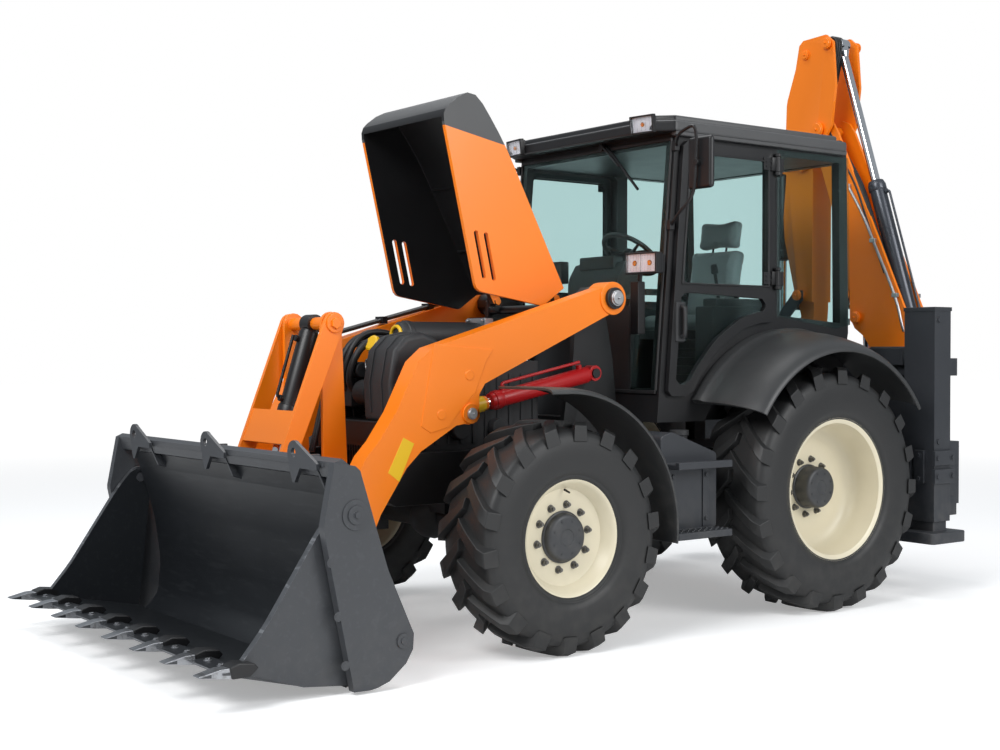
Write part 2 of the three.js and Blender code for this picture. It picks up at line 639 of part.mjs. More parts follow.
function rearGlass() {
  const face = cabHalf + fit;
  const back = (z) => THREE.MathUtils.mapLinear(z, 1640, cabTop, cabRear.waist, cabRear.top) + fit;
  const outer = slab(sideView, [
    [quarterFront - 20, waist + 35], [quarterFront - 20, 2735], [back(2735) + glass, 2735],
    [back(1690) + glass, 1690], [cabRear.waist - 120, 1665],
  ], -face - glass, face + glass);
  const inner = slab(sideView, [
    [-200, 1600], [-200, 2800], [back(2800), 2800], [back(1600), 1600],
  ], -face, face);
  return cut(outer, inner);
}
place('rear_glass', rearGlass(), window);

for (const [label, side] of sides) {
  const face = cabHalf + 2;
  const skin = slab(sideView, doorOutline(-22), face, face + 30);
  const upper = slab(sideView, [
    [doorFront(2660) + 34, 2660, 40], [doorFront(1905) + 34, 1905, 40], [doorRear - 34, 1905, 30],
    [doorRear - 34, 2660, 40],
  ], face - 20, face + 60);
  const lower = slab(sideView, [
    [doorFront(1860) + 34, 1860, 30], [doorFront(1335) + 34, 1335, 30], [-835, 1335, 30],
    [-720, 1500, 100], [-520, 1668, 100], [-330, 1748, 60], [doorRear - 60, 1765, 20],
    [doorRear - 60, 1835, 30],
  ], face - 20, face + 60);
  const hinges = doorHinges.map((z) => join(
    bar([hingeX, hingeY, z - hingeHalf], [hingeX, hingeY, z + hingeHalf], 16),
    box(face + 20, hingeX, hingeY - 45, hingeY + 8, z - hingeHalf + 5, z + hingeHalf - 5)));
  const handle = box(face + 25, face + 62, doorFront(1700) + 30, doorFront(1700) + 62, 1600, 1780);
  place(`door_${label}`, onSide(join(cut(skin, upper, lower), ...hinges, handle), side), black);
  place(`door_glass_${label}`, onSide(slab(sideView, doorOutline(14), face - fit - 6, face - fit),
    side), window);
}

function dashboard() {
  const console = slab(sideView, [
    [-935, cabFloor + pillar + fit], [-915, 1960, 20], [-840, 2080, 30], [-690, 2010, 30],
    [-760, 1900, 40], [-780, cabFloor + pillar + fit],
  ], -230, 230);
  const column = bar([0, -780, 1900], [0, -602, 2125], 34);
  const hub = new THREE.Vector3(0, -602, 2125);
  const wheel = solid(new THREE.TorusGeometry(185, 15, 6, 16)
    .rotateX(THREE.MathUtils.degToRad(-38)).translate(...hub.toArray()));
  const spoke = solid(new THREE.BoxGeometry(370, 40, 18)
    .rotateX(THREE.MathUtils.degToRad(-38)).translate(...hub.toArray()));
  return join(console, column, wheel, spoke);
}
place('dashboard', dashboard(), plastic);

function seat() {
  const floor = cabFloor + pillar + fit;
  const pedestal = box(-200, 200, -130, 210, floor, 1640);
  const cushion = slab(sideView, [[-250, 1640, 40], [-250, 1760, 50], [230, 1735, 30], [230, 1630]],
    -250, 250);
  const back = slab(sideView, [[120, 1700], [235, 2330, 60], [330, 2330, 60], [300, 1690, 30]],
    -235, 235);
  return join(pedestal, cushion, back);
}
place('seat', seat(), upholstery);

// ---------------------------------------------------------------- fenders and steps
function rearFender() {
  const axle = [0, rear.radius];
  const inner = rear.radius + 83;
  const layers = [[fenderInner, 880, 228], [850, 1090, 198], [1080, fenderOuter, 145]];
  const crown = layers.map(([x0, x1, rise]) => {
    const shape = arcPoints(axle, rear.radius + rise, 34, 146, 10);
    const arch = arcPoints(axle, inner, 150, 30, 10);
    return slab(sideView, [...shape, ...arch], x0, x1);
  });
  return join(...crown);
}
for (const [label, side] of sides) place(`fender_rear_${label}`, onSide(rearFender(), side), plastic);

function frontFender() {
  const axle = [-wheelbase, front.radius];
  const outside = arcPoints(axle, 755, 2, 92, 7);
  const inside = arcPoints(axle, 733, 92, 2, 7);
  const tip = [[axle[0] - 450, 1368], [axle[0] - 446, 1346]];
  const flap = [[axle[0] + 728, 520], [axle[0] + 746, 520]];
  const skin = slab(sideView, [...outside, ...tip, ...inside, ...flap], 760, fenderOuter);
  const bracketY = armPivot[0] - 155;
  const bracket = box(chassisHalf + fit + towerPlate + fit, 775, bracketY, bracketY + 40, 1000, 1040);
  const post = box(720, 775, Math.min(bracketY, axle[0] + 550),
    Math.max(bracketY + 40, axle[0] + 700), 990, 1050);
  return join(skin, bracket, post);
}
for (const [label, side] of sides) {
  place(`fender_front_${label}`, onSide(frontFender(), side), plastic);
}

const stepX = 985;
function step() {
  const tank = slab(sideView, [
    [-1262, 545, 20], [-1262, 1060, 20], [-1180, 1085, 20], [-840, 960, 20], [-840, 545, 20],
  ], chassisHalf + fit, stepX, 3);
  const treads = [[885, 912, 1100], [505, 545, 1100]].map(([z0, z1, x]) =>
    box(600, x, -1235, -830, z0, z1));
  const lip = box(1070, 1100, -1235, -830, 885, 925);
  return cut(join(tank, ...treads, lip), box(chassisHalf, chassisHalf + towerPlate + 2 * fit,
    -1300, -900, 700, 1200));
}
for (const [label, side] of sides) place(`step_${label}`, onSide(step(), side), plastic);

// ---------------------------------------------------------------- rear frame and stabilisers
const railHigh = [1370, 1480];
const railLow = [490, 610];
const legInnerWidth = legWidth - 2 * legWall;
const legInnerDepth = legDepth - 2 * legWall;
function rearFrame() {
  const leg = cut(box(legX - legWidth / 2, legX + legWidth / 2, legY - legDepth / 2,
    legY + legDepth / 2, legBottom, legTop),
  box(legX - legInnerWidth / 2, legX + legInnerWidth / 2, legY - legInnerDepth / 2,
    legY + legInnerDepth / 2, legBottom - 10, legTop - 20));
  const cheek = box(legX - 95, legX + 85, rearFrameFace - 10, rearFrameFace + railDepth + 30, 560, 955);
  const post = box(legX - 115, legX - 35, rearFrameFace - 10, rearFrameFace + railDepth,
    railLow[0], railHigh[1]);
  const rails = [railHigh, railLow].map(([z0, z1]) =>
    box(-legX - 90, legX + 90, rearFrameFace - 5, rearFrameFace + railDepth, z0, z1));
  const uprights = [-310, 310].map((x) => box(x - 60, x + 60, chassisTail + fit,
    rearFrameFace + 60, 560, 1400));
  const bracket = box(-chassisHalf, chassisHalf, chassisTail + fit, rearFrameFace + 60, railBottom, railTop);
  return join(bothSides(join(leg, cut(cheek, box(0, legX - 96, 0, 3000, 0, 2000)), post)), ...rails,
    ...uprights, bracket);
}
place('rear_frame', rearFrame(), charcoal);

function stabilizer() {
  const inner = box(legX - legInnerWidth / 2 + running, legX + legInnerWidth / 2 - running,
    legY - legInnerDepth / 2 + sliding, legY + legInnerDepth / 2 - sliding, footLift + 60, legTop - 330);
  const foot = slab(planView, [
    [legX - 175, legY - 165, 30], [legX + 175, legY - 165, 30], [legX + 175, legY + 165, 30],
    [legX - 175, legY + 165, 30],
  ], footLift, footLift + 70, 3);
  return join(inner, foot);
}
for (const [label, side] of sides) place(`stabilizer_${label}`, onSide(stabilizer(), side), charcoal);

// ---------------------------------------------------------------- digging arm
// Built with its reach along -X and its middle plane at Y = 0, then moved to the kingpost.
const arm = new THREE.Group();
arm.position.set(kingpostX, kingpostY, 0);
machine.add(arm);
const plateAt = (corners, y0, y1, segments = 1) => slab(reachView, corners, y0, y1, segments);
const stubs = ([reach, z], radius, y0, y1) => join(
  bar([-reach, y0, z], [-reach, y1, z], radius), bar([-reach, -y1, z], [-reach, -y0, z], radius));
// The point a distance along the line from one point towards another.
const onward = ([u0, v0], [u1, v1], distance) => {
  const share = distance / Math.hypot(u1 - u0, v1 - v0);
  return [u0 + (u1 - u0) * share, v0 + (v1 - v0) * share];
};
const pairAt = (corners, y0, y1, segments = 1) =>
  join(plateAt(corners, y0, y1, segments), plateAt(corners, -y1, -y0, segments));

const postHalf = 135;
const slideFace = rearFrameFace + railDepth - kingpostY;
const lowerEye = 380;
const upperEye = 1300;
function carriage() {
  const face = slideFace + sliding;
  const back = box(-190, 190, face, face + 70, railLow[0] - 70, railHigh[1] + 75);
  const claws = [[railHigh[1], 1], [railLow[0], -1]].map(([z, up]) => join(
    box(-190, 190, face - railDepth - 55, face + 5, Math.min(z + up * 6, z + up * 66),
      Math.max(z + up * 6, z + up * 66)),
    box(-190, 190, face - railDepth - 55, face - railDepth - 12,
      Math.min(z - up * 45, z + up * 66), Math.max(z - up * 45, z + up * 66))));
  const ears = [[lowerEye, lowerEye + 70], [upperEye, upperEye + 70]].map(([z0, z1]) => join(
    box(-110, 110, face, 0, z0, z1), bar([0, 0, z0], [0, 0, z1], 110, 16)));
  const bores = bar([0, 0, 300], [0, 0, 1500], 45 + running, boreSides);
  return cut(join(back, ...claws, ...ears), bores);
}
place('carriage', carriage(), charcoal, arm);

function kingpost() {
  const tube = bar([0, 0, lowerEye + 70 + sliding], [0, 0, upperEye - 2], 90, 16);
  const pin = bar([0, 0, lowerEye - 10], [0, 0, upperEye + 80], 45, 16);
  const cheeks = pairAt([
    [-60, 470, 30], [-60, 900, 60], [140, 900, 60], [330, 700, 80], [500, 480, 50], [480, 370, 50],
    [380, 370, 30], [120, 470, 40],
  ], 110, postHalf);
  const web = box(-40, 60, -112, 112, 470, 880);
  const footPin = through(digFoot, 36, postHalf + 18);
  const ramPin = through(digRamBase, 28, postHalf + 14);
  const lowWeb = box(-400, -300, -112, 112, 372, 386);
  return join(tube, pin, cheeks, web, footPin, ramPin, lowWeb);
}
place('kingpost', kingpost(), charcoal, arm);

const boomHalf = 105;
const boomPlate = 22;
function boom() {
  const outline = [
    [130, 700, 30], [128, 1380, 30], [60, 1412, 30], [-45, 1450, 60], [-40, 1560, 60],
    [26, 1660, 80], [700, 3115, 40], [760, 3185, 40], [890, 3170, 60], [900, 3040, 50],
    [610, 2200, 200], [570, 1720, 60], [400, 1600, 60], [318, 1400, 80], [312, 700, 30],
  ];
  const cheeks = pairAt(outline, boomHalf - boomPlate, boomHalf);
  const foot = cut(through(digFoot, 92, boomHalf), through(digFoot, 92 - 40, 70));
  const inside = boomHalf - boomPlate + 2;
  const webs = [
    [[300, 760], [312, 1390], [292, 1390], [280, 760]],
    [[600, 2230], [850, 2960], [830, 2965], [580, 2240]],
    [[200, 1760], [560, 2600], [580, 2590], [222, 1750]],
  ].map((corners) => plateAt(corners, -inside, inside));
  const ramPin = through(dipperRamBase, 26, boomHalf + 16);
  const bores = [boreThrough(digFoot, 36, 200), boreThrough(dipperPivot, 34, 200)];
  const eyePins = stubs(digRamEye, 28, inside, boomHalf + 16);
  return cut(join(cheeks, foot, ...webs, ramPin, eyePins), ...bores);
}
place('boom', boom(), orange, arm);

const dipperHalf = 140;
const dipperPlate = 22;
function dipper() {
  const tail = [
    [700, 3770, 60], [1000, 3755, 30], [1040, 3560], [1123, 3330, 20], [1140, 2900], [960, 2800, 40],
    [880, 2960, 40], [715, 3060, 60], [670, 3400],
  ];
  const cheeks = pairAt(tail, dipperHalf - dipperPlate, dipperHalf);
  const beam = plateAt([
    [935, 2960, 20], [1150, 2960], [1195, 2420, 80], [1075, 1930, 60], [1022, 1720, 40],
    [1015, 1560, 60], [945, 1560, 60], [915, 1750, 80], [910, 2800, 20],
  ], -100, 100);
  const hollow = plateAt([[965, 3050], [1105, 3050], [1120, 2860], [1165, 2420], [1075, 2020],
    [940, 2020], [940, 2860]], -84, 84);
  const shoulder = plateAt([[935, 3000], [1140, 3000], [1150, 2850], [925, 2850]],
    -dipperHalf + 4, dipperHalf - 4);
  const narrow = [1, -1].map((side) => plateAt([[850, 1880], [1140, 1880], [1140, 1450], [850, 1450]],
    Math.min(side * 76, side * 120), Math.max(side * 76, side * 120)));
  const lug = pairAt(strip(digRamTop, [1120, 2860], 44, 60), 50, 76);
  const lugPin = through(digRamTop, 24, 80);
  const pins = [
    through(dipperPivot, 34, dipperHalf + 16),
    stubs(dipperTail, 26, dipperHalf - dipperPlate + 2, dipperHalf + 16),
    through([943, 3649], 20, dipperHalf), through(digPivot, 30, 128), through(bellPivot, 26, 150), lugPin,
  ];
  return join(cut(join(beam, shoulder), hollow, ...narrow), cheeks, lug, ...pins);
}
place('dipper', dipper(), orange, arm);

// The digging bucket is drawn from its pivot: along the line to its link pin, and square
// to that line towards the teeth.
const digBucketHalf = 300;
const digBucketWall = 20;
function digBucket() {
  const turn = Math.atan2(digLink[1] - digPivot[1], digLink[0] - digPivot[0]);
  const at = ([along, off, radius = 0]) => [
    digPivot[0] + along * Math.cos(turn) + off * Math.sin(turn),
    digPivot[1] + along * Math.sin(turn) - off * Math.cos(turn), radius,
  ];
  const shell = cut(
    plateAt([
      [72, 120], [112, 66, 20], [360, 60, 80], [600, 130, 150], [690, 350, 160],
      [620, 520, 80], [440, 600],
    ].map(at), -digBucketHalf, digBucketHalf, 2),
    plateAt([
      [60, 170], [124, 92, 20], [356, 84, 80], [582, 150, 140], [664, 345, 140],
      [600, 496, 70], [410, 596],
    ].map(at), -digBucketHalf + digBucketWall, digBucketHalf - digBucketWall, 2),
  );
  const ears = pairAt([
    [100, 90], [-52, 46, 50], [-52, -30, 50], [60, -46, 60], [215, -40, 40], [300, 72],
  ].map(at), 86, 112);
  const linkPins = stubs(digLink, 24, 100, 126);
  const teeth = [-240, -120, 0, 120, 240].map((y) => plateAt([
    [480, 545], [510, 566], [412, 650], [420, 585],
  ].map(at), y - 28, y + 28));
  return join(shell, cut(ears, boreThrough(digPivot, 30, 200)), linkPins, ...teeth);
}
place('dig_bucket', digBucket(), charcoal, arm);

const boomRam = { radius: 58, length: 790, half: 48, pin: 28, bore: 700, overlap: 270 };
place('boom_barrel', ramBarrel(reachView, digRamBase, digRamEye, boomRam), black, arm);
place('boom_rod', ramRod(reachView, digRamBase, digRamEye, boomRam), chrome, arm);
const dipperRam = { radius: 56, length: 1230, half: 46, pin: 26, bore: 1130, overlap: 150 };
place('dipper_barrel', ramBarrel(reachView, dipperRamBase, dipperTail, dipperRam), black, arm);
place('dipper_rod', ramRod(reachView, dipperRamBase, dipperTail, { ...dipperRam, half: 44 }), chrome, arm);
const curlRam = { radius: 48, length: 700, half: 40, pin: 24, bore: 610, overlap: 230 };
place('curl_barrel', ramBarrel(reachView, digRamTop, bellTip, curlRam), black, arm);
place('curl_rod', ramRod(reachView, digRamTop, bellTip, curlRam), chrome, arm);

function bellLever() {
  const cheeks = cut(pairAt(strip(bellPivot, bellTip, 48, 40), 122, 142),
    boreThrough(bellPivot, 26, 200), boreThrough(bellLink, 24, 200));
  const tube = through(onward(bellPivot, bellTip, 120), 18, 140);
  return join(cheeks, tube);
}
place('bell_lever', bellLever(), charcoal, arm);

function bellRod() {
  const cheeks = cut(pairAt(strip(bellLink, digLink, 38, 36), 58, 80),
    boreThrough(digLink, 24, 200));
  return join(cheeks, through(bellLink, 24, 150), through(onward(bellLink, digLink, 140), 18, 60));
}
place('curl_link', bellRod(), charcoal, arm);

export default machine;
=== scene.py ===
# %% [markdown]
# # A backhoe loader, dressed for its portrait
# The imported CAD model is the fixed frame: it says where every plate, pin and wheel is and how
# it moves.  This lesson leaves that frame alone and makes what the eye sees: paint, rubber,
# glass, tread, hoses, bolts and lamps.  Everything is in metres in the frame's own axes:
# +X is the machine's left, +Y its rear, +Z up.

# %% Load the frame
import json
import math

import bmesh
import bpy
from mathutils import Matrix, Vector


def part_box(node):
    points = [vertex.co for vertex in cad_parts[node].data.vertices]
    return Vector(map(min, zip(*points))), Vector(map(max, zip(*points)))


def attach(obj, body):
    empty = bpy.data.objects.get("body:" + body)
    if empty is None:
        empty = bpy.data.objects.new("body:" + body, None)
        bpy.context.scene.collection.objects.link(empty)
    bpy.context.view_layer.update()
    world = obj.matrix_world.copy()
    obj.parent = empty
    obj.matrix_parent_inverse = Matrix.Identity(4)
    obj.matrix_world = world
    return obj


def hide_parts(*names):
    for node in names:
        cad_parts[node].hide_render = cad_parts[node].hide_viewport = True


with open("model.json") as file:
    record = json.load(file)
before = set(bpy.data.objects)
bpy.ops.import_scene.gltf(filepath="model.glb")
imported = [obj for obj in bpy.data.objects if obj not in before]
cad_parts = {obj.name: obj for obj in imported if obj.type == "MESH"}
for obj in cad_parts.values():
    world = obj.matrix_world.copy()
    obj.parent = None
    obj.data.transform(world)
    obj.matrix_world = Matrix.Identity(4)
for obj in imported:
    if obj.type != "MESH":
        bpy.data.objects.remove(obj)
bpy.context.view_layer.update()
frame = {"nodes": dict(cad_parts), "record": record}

# %% [markdown]
# Most of the machine is easiest to place from its rear axle in a side view, and the digging
# arm from its kingpost.  Two short helpers turn such points into frame points, so that the
# numbers below can be read off a drawing of the real machine.

# %% Places on the machine
REAR_AXLE = 1.135
KINGPOST = Vector((0.620, 2.635, 0.0))
SIDES = (("left", 1), ("right", -1))


def at(x, y, z):
    """A point from its height and its distance ahead (-) of or behind (+) the rear axle."""
    return Vector((x, y + REAR_AXLE, z))


def arm_at(reach, z, across=0.0):
    """A point on the digging arm, from its reach out from the kingpost."""
    return Vector((KINGPOST.x - reach, KINGPOST.y + across, z))


print("rear axle at", at(0, 0, 0.717), "kingpost at", KINGPOST)

# %% [markdown]
# ## Stage
# A pale floor, a white surround and three big soft lamps, as in a product studio.  The floor
# could be lit until it clips to white, but then the machine would be over-lit too.  A Light
# Path switch keeps the surround white for the camera, for gloss and for glass only.

# %% Camera
scene = bpy.context.scene


def add_object(name, data):
    """A new object for a mesh, curve, camera or light, linked to the scene."""
    made = bpy.data.objects.new(name, data)
    scene.collection.objects.link(made)
    return made


scene.view_settings.view_transform = "Standard"
camera_data = bpy.data.cameras.new("camera")
camera_data.lens = 52.03
camera_data.sensor_width = 36
camera = add_object("camera", camera_data)
camera.location = (6.738, -5.473, 1.52)
YAW, PITCH = -0.933, -0.016
looking = Vector((math.cos(PITCH) * math.sin(YAW), math.cos(PITCH) * math.cos(YAW),
                  math.sin(PITCH)))
camera.rotation_mode = "QUATERNION"
camera.rotation_quaternion = looking.to_track_quat("-Z", "Y")
camera_data.clip_end = 200
scene.camera = camera
print("camera looks along", looking)


# %% Lamps and surround
def area_lamp(name, place, aim, size, power):
    data = bpy.data.lights.new(name, "AREA")
    data.shape = "DISK"
    data.size = size
    data.energy = power
    lamp = add_object(name, data)
    lamp.location = place
    lamp.rotation_mode = "QUATERNION"
    lamp.rotation_quaternion = (Vector(aim) - Vector(place)).to_track_quat("-Z", "Y")


area_lamp("key_lamp", (3.0, -8.0, 7.5), (0, -0.5, 1.0), 5.0, 640)
area_lamp("side_lamp", (9.0, 2.5, 5.0), (0, 0.5, 1.4), 5.0, 440)
area_lamp("top_lamp", (-2.0, 1.0, 9.0), (0, 0, 1.0), 6.0, 350)

world = bpy.data.worlds.new("studio")
scene.world = world
world.use_nodes = True
sky = world.node_tree
sky.nodes.clear()
light_path = sky.nodes.new("ShaderNodeLightPath")
seen = sky.nodes.new("ShaderNodeMath")
seen.operation = "MAXIMUM"
sky.links.new(light_path.outputs["Is Camera Ray"], seen.inputs[0])
sky.links.new(light_path.outputs["Is Transmission Ray"], seen.inputs[1])
background_lit = sky.nodes.new("ShaderNodeBackground")
background_lit.inputs["Color"].default_value = (0.86, 0.93, 1.0, 1)
background_lit.inputs["Strength"].default_value = 0.40
background_seen = sky.nodes.new("ShaderNodeBackground")
background_seen.inputs["Color"].default_value = (1, 1, 1, 1)
background_seen.inputs["Strength"].default_value = 1.0
sky_mix = sky.nodes.new("ShaderNodeMixShader")
sky_out = sky.nodes.new("ShaderNodeOutputWorld")
sky.links.new(seen.outputs[0], sky_mix.inputs[0])
sky.links.new(background_lit.outputs[0], sky_mix.inputs[1])
sky.links.new(background_seen.outputs[0], sky_mix.inputs[2])
sky.links.new(sky_mix.outputs[0], sky_out.inputs[0])

# %% [markdown]
# ## Effects shared by the finishes
# Sprayed paint, moulded plastic, rubber and cast parts all vary a little from place to place.
# One node group does that for them all: it varies a colour and a roughness and gives a fine
# height.  A second group lays pale dust on whatever is near the ground.  A third draws the
# short scratches of worn steel.  Each material puts in its own values.


# %% Node group helpers
def new_group(name, inputs, outputs):
    group = bpy.data.node_groups.new(name, "ShaderNodeTree")
    for label, kind, value in inputs:
        socket = group.interface.new_socket(name=label, in_out="INPUT", socket_type=kind)
        socket.default_value = value
    for label, kind in outputs:
        group.interface.new_socket(name=label, in_out="OUTPUT", socket_type=kind)
    return group, group.nodes.new("NodeGroupInput"), group.nodes.new("NodeGroupOutput")


def add(tree, kind, **settings):
    node = tree.nodes.new(kind)
    for name, value in settings.items():
        setattr(node, name, value)
    return node


def preset(node, values):
    """Sets the values of a node's inputs by their labels or numbers."""
    for label, value in values.items():
        node.inputs[label].default_value = value


COLOR, FLOAT = "NodeSocketColor", "NodeSocketFloat"


# %% Surface variation
def make_variation():
    group, inside, outside = new_group(
        "surface_variation",
        [("Color", COLOR, (0.5, 0.5, 0.5, 1)), ("Amount", FLOAT, 0.1), ("Scale", FLOAT, 8.0),
         ("Grain", FLOAT, 300.0), ("Roughness", FLOAT, 0.5), ("Roughness Range", FLOAT, 0.1)],
        [("Color", COLOR), ("Roughness", FLOAT), ("Height", FLOAT)])
    place = add(group, "ShaderNodeTexCoord")
    broad = add(group, "ShaderNodeTexNoise")
    broad.inputs["Detail"].default_value = 6
    fine = add(group, "ShaderNodeTexNoise")
    fine.inputs["Detail"].default_value = 2
    link = group.links.new
    link(place.outputs["Object"], broad.inputs["Vector"])
    link(place.outputs["Object"], fine.inputs["Vector"])
    link(inside.outputs["Scale"], broad.inputs["Scale"])
    link(inside.outputs["Grain"], fine.inputs["Scale"])
    centred = add(group, "ShaderNodeMath", operation="SUBTRACT")
    centred.inputs[1].default_value = 0.5
    link(broad.outputs["Fac"], centred.inputs[0])
    share = add(group, "ShaderNodeMath", operation="MULTIPLY")
    link(centred.outputs[0], share.inputs[0])
    link(inside.outputs["Amount"], share.inputs[1])
    bright = add(group, "ShaderNodeMath", operation="MULTIPLY_ADD")
    preset(bright, {1: 2.0, 2: 1.0})
    link(share.outputs[0], bright.inputs[0])
    tint = add(group, "ShaderNodeVectorMath", operation="SCALE")
    link(inside.outputs["Color"], tint.inputs[0])
    link(bright.outputs[0], tint.inputs["Scale"])
    link(tint.outputs[0], outside.inputs["Color"])
    rough = add(group, "ShaderNodeMath", operation="MULTIPLY_ADD")
    link(centred.outputs[0], rough.inputs[0])
    link(inside.outputs["Roughness Range"], rough.inputs[1])
    link(inside.outputs["Roughness"], rough.inputs[2])
    link(rough.outputs[0], outside.inputs["Roughness"])
    link(fine.outputs["Fac"], outside.inputs["Height"])
    return group


VARIATION = make_variation()
print("group", VARIATION.name)


# %% Dust from the ground
def make_dust():
    group, inside, outside = new_group(
        "ground_dust",
        [("Color", COLOR, (0.5, 0.5, 0.5, 1)), ("Dust", COLOR, (0.32, 0.29, 0.25, 1)),
         ("Amount", FLOAT, 0.2), ("Top", FLOAT, 1.0)],
        [("Color", COLOR), ("Mask", FLOAT)])
    link = group.links.new
    place = add(group, "ShaderNodeTexCoord")
    split = add(group, "ShaderNodeSeparateXYZ")
    link(place.outputs["Object"], split.inputs[0])
    low = add(group, "ShaderNodeMapRange")
    preset(low, {"From Min": 0.0, "To Min": 1.0, "To Max": 0.0})
    link(split.outputs["Z"], low.inputs["Value"])
    link(inside.outputs["Top"], low.inputs["From Max"])
    noise = add(group, "ShaderNodeTexNoise")
    preset(noise, {"Scale": 14, "Detail": 8})
    link(place.outputs["Object"], noise.inputs["Vector"])
    patch = add(group, "ShaderNodeMapRange")
    preset(patch, {"From Min": 0.42, "From Max": 0.68})
    link(noise.outputs["Fac"], patch.inputs["Value"])
    mask = add(group, "ShaderNodeMath", operation="MULTIPLY")
    link(low.outputs[0], mask.inputs[0])
    link(patch.outputs[0], mask.inputs[1])
    share = add(group, "ShaderNodeMath", operation="MULTIPLY")
    link(mask.outputs[0], share.inputs[0])
    link(inside.outputs["Amount"], share.inputs[1])
    mix = add(group, "ShaderNodeMix", data_type="RGBA")
    link(share.outputs[0], mix.inputs[0])
    link(inside.outputs["Color"], mix.inputs[6])
    link(inside.outputs["Dust"], mix.inputs[7])
    link(mix.outputs[2], outside.inputs["Color"])
    link(share.outputs[0], outside.inputs["Mask"])
    return group


DUST = make_dust()
print("group", DUST.name)


# %% Scratches
def make_scratches():
    group, inside, outside = new_group(
        "scratches", [("Scale", FLOAT, 30.0), ("Amount", FLOAT, 0.5)], [("Mask", FLOAT)])
    link = group.links.new
    place = add(group, "ShaderNodeTexCoord")
    stretch = add(group, "ShaderNodeMapping")
    preset(stretch, {"Scale": (0.15, 1.0, 1.0), "Rotation": (0.2, 0.1, 0.35)})
    link(place.outputs["Object"], stretch.inputs["Vector"])
    noise = add(group, "ShaderNodeTexNoise")
    preset(noise, {"Detail": 5, "Distortion": 0.4})
    link(stretch.outputs[0], noise.inputs["Vector"])
    link(inside.outputs["Scale"], noise.inputs["Scale"])
    line = add(group, "ShaderNodeMapRange")
    preset(line, {"From Min": 0.56, "From Max": 0.66})
    link(noise.outputs["Fac"], line.inputs["Value"])
    share = add(group, "ShaderNodeMath", operation="MULTIPLY")
    link(line.outputs[0], share.inputs[0])
    link(inside.outputs["Amount"], share.inputs[1])
    link(share.outputs[0], outside.inputs["Mask"])
    return group


SCRATCHES = make_scratches()
print("group", SCRATCHES.name)

# %% [markdown]
# ## Finishes
# A finish is a Principled shader fed by those groups.  The shader itself stays in each
# material, and whatever is the same all over is set on its own sockets.


# %% Finish helper
def new_material(name):
    """A named material with its node tree and its Principled shader."""
    material = bpy.data.materials.new(name)
    material.use_nodes = True
    return material, material.node_tree, material.node_tree.nodes["Principled BSDF"]


def finish(name, color, roughness, *, metallic=0.0, amount=0.08, scale=7.0, grain=300.0,
           spread=0.12, bump=0.05, depth=0.0006, coat=0.0, dust=0.0, dust_top=1.0, worn=None,
           worn_scale=30.0):
    """A varied, dusty, scratched surface.  worn is (colour, share) for scratches."""
    material, tree, shader = new_material(name)
    link = tree.links.new
    preset(shader, {"Metallic": metallic, "Coat Weight": coat, "Coat Roughness": 0.12})
    varied = add(tree, "ShaderNodeGroup", node_tree=VARIATION)
    preset(varied, {"Color": (*color, 1), "Amount": amount, "Scale": scale, "Grain": grain,
                    "Roughness": roughness, "Roughness Range": spread})
    top = varied.outputs["Color"]
    if worn:
        scratch = add(tree, "ShaderNodeGroup", node_tree=SCRATCHES)
        preset(scratch, {"Scale": worn_scale, "Amount": worn[1]})
        mix = add(tree, "ShaderNodeMix", data_type="RGBA")
        link(scratch.outputs["Mask"], mix.inputs[0])
        link(top, mix.inputs[6])
        mix.inputs[7].default_value = (*worn[0], 1)
        top = mix.outputs[2]
    if dust:
        dusty = add(tree, "ShaderNodeGroup", node_tree=DUST)
        preset(dusty, {"Amount": dust, "Top": dust_top})
        link(top, dusty.inputs["Color"])
        top = dusty.outputs["Color"]
    link(top, shader.inputs["Base Color"])
    link(varied.outputs["Roughness"], shader.inputs["Roughness"])
    relief = add(tree, "ShaderNodeBump")
    preset(relief, {"Strength": bump, "Distance": depth})
    link(varied.outputs["Height"], relief.inputs["Height"])
    link(relief.outputs[0], shader.inputs["Normal"])
    return material


# %% Paints, plastics and metals
ORANGE = finish("orange_paint", (0.98, 0.225, 0.004), 0.36, amount=0.03, scale=3.0,
                grain=220, bump=0.10, coat=0.12, dust=0.05, dust_top=1.2)
CHARCOAL = finish("charcoal_paint", (0.034, 0.037, 0.043), 0.42, amount=0.10, scale=4.0,
                  grain=260, bump=0.12, dust=0.16, dust_top=0.9)
BUCKET = finish("bucket_paint", (0.052, 0.055, 0.061), 0.42, amount=0.06, scale=3.0,
                grain=160, bump=0.12, dust=0.05, dust_top=0.5,
                worn=((0.12, 0.13, 0.14), 0.10), worn_scale=40)
# Painted shade: the bucket paint made darker for the inside of the bucket, where shade falls. Its
# scratches are real wear.
BUCKET_SHADED_INNER = finish("bucket_inner_painted_shade", (0.014, 0.016, 0.019), 0.36, amount=0.08,
                      scale=3.0, grain=160, bump=0.12, worn=((0.07, 0.075, 0.08), 0.12),
                      worn_scale=40)
BLACK = finish("black_paint", (0.010, 0.010, 0.011), 0.40, amount=0.15, grain=260, bump=0.10)
CREAM = finish("cream_paint", (0.74, 0.67, 0.50), 0.38, amount=0.05, grain=240, bump=0.08,
               dust=0.10, dust_top=0.5)
PLASTIC = finish("moulded_plastic", (0.028, 0.029, 0.031), 0.55, amount=0.12, scale=9,
                 grain=900, bump=0.35, depth=0.0008, dust=0.08, dust_top=1.4)
RUBBER = finish("tyre_rubber", (0.017, 0.0172, 0.0175), 0.50, amount=0.07, scale=10,
                grain=420, bump=0.30, depth=0.0010, dust=0.05, dust_top=0.8)
HOSE = finish("hose_rubber", (0.015, 0.015, 0.016), 0.50, amount=0.10, grain=700, bump=0.25)
STEEL = finish("worn_steel", (0.42, 0.43, 0.45), 0.34, metallic=1.0, amount=0.20, scale=16,
               grain=500, bump=0.25, worn=((0.12, 0.11, 0.10), 0.4), worn_scale=40)
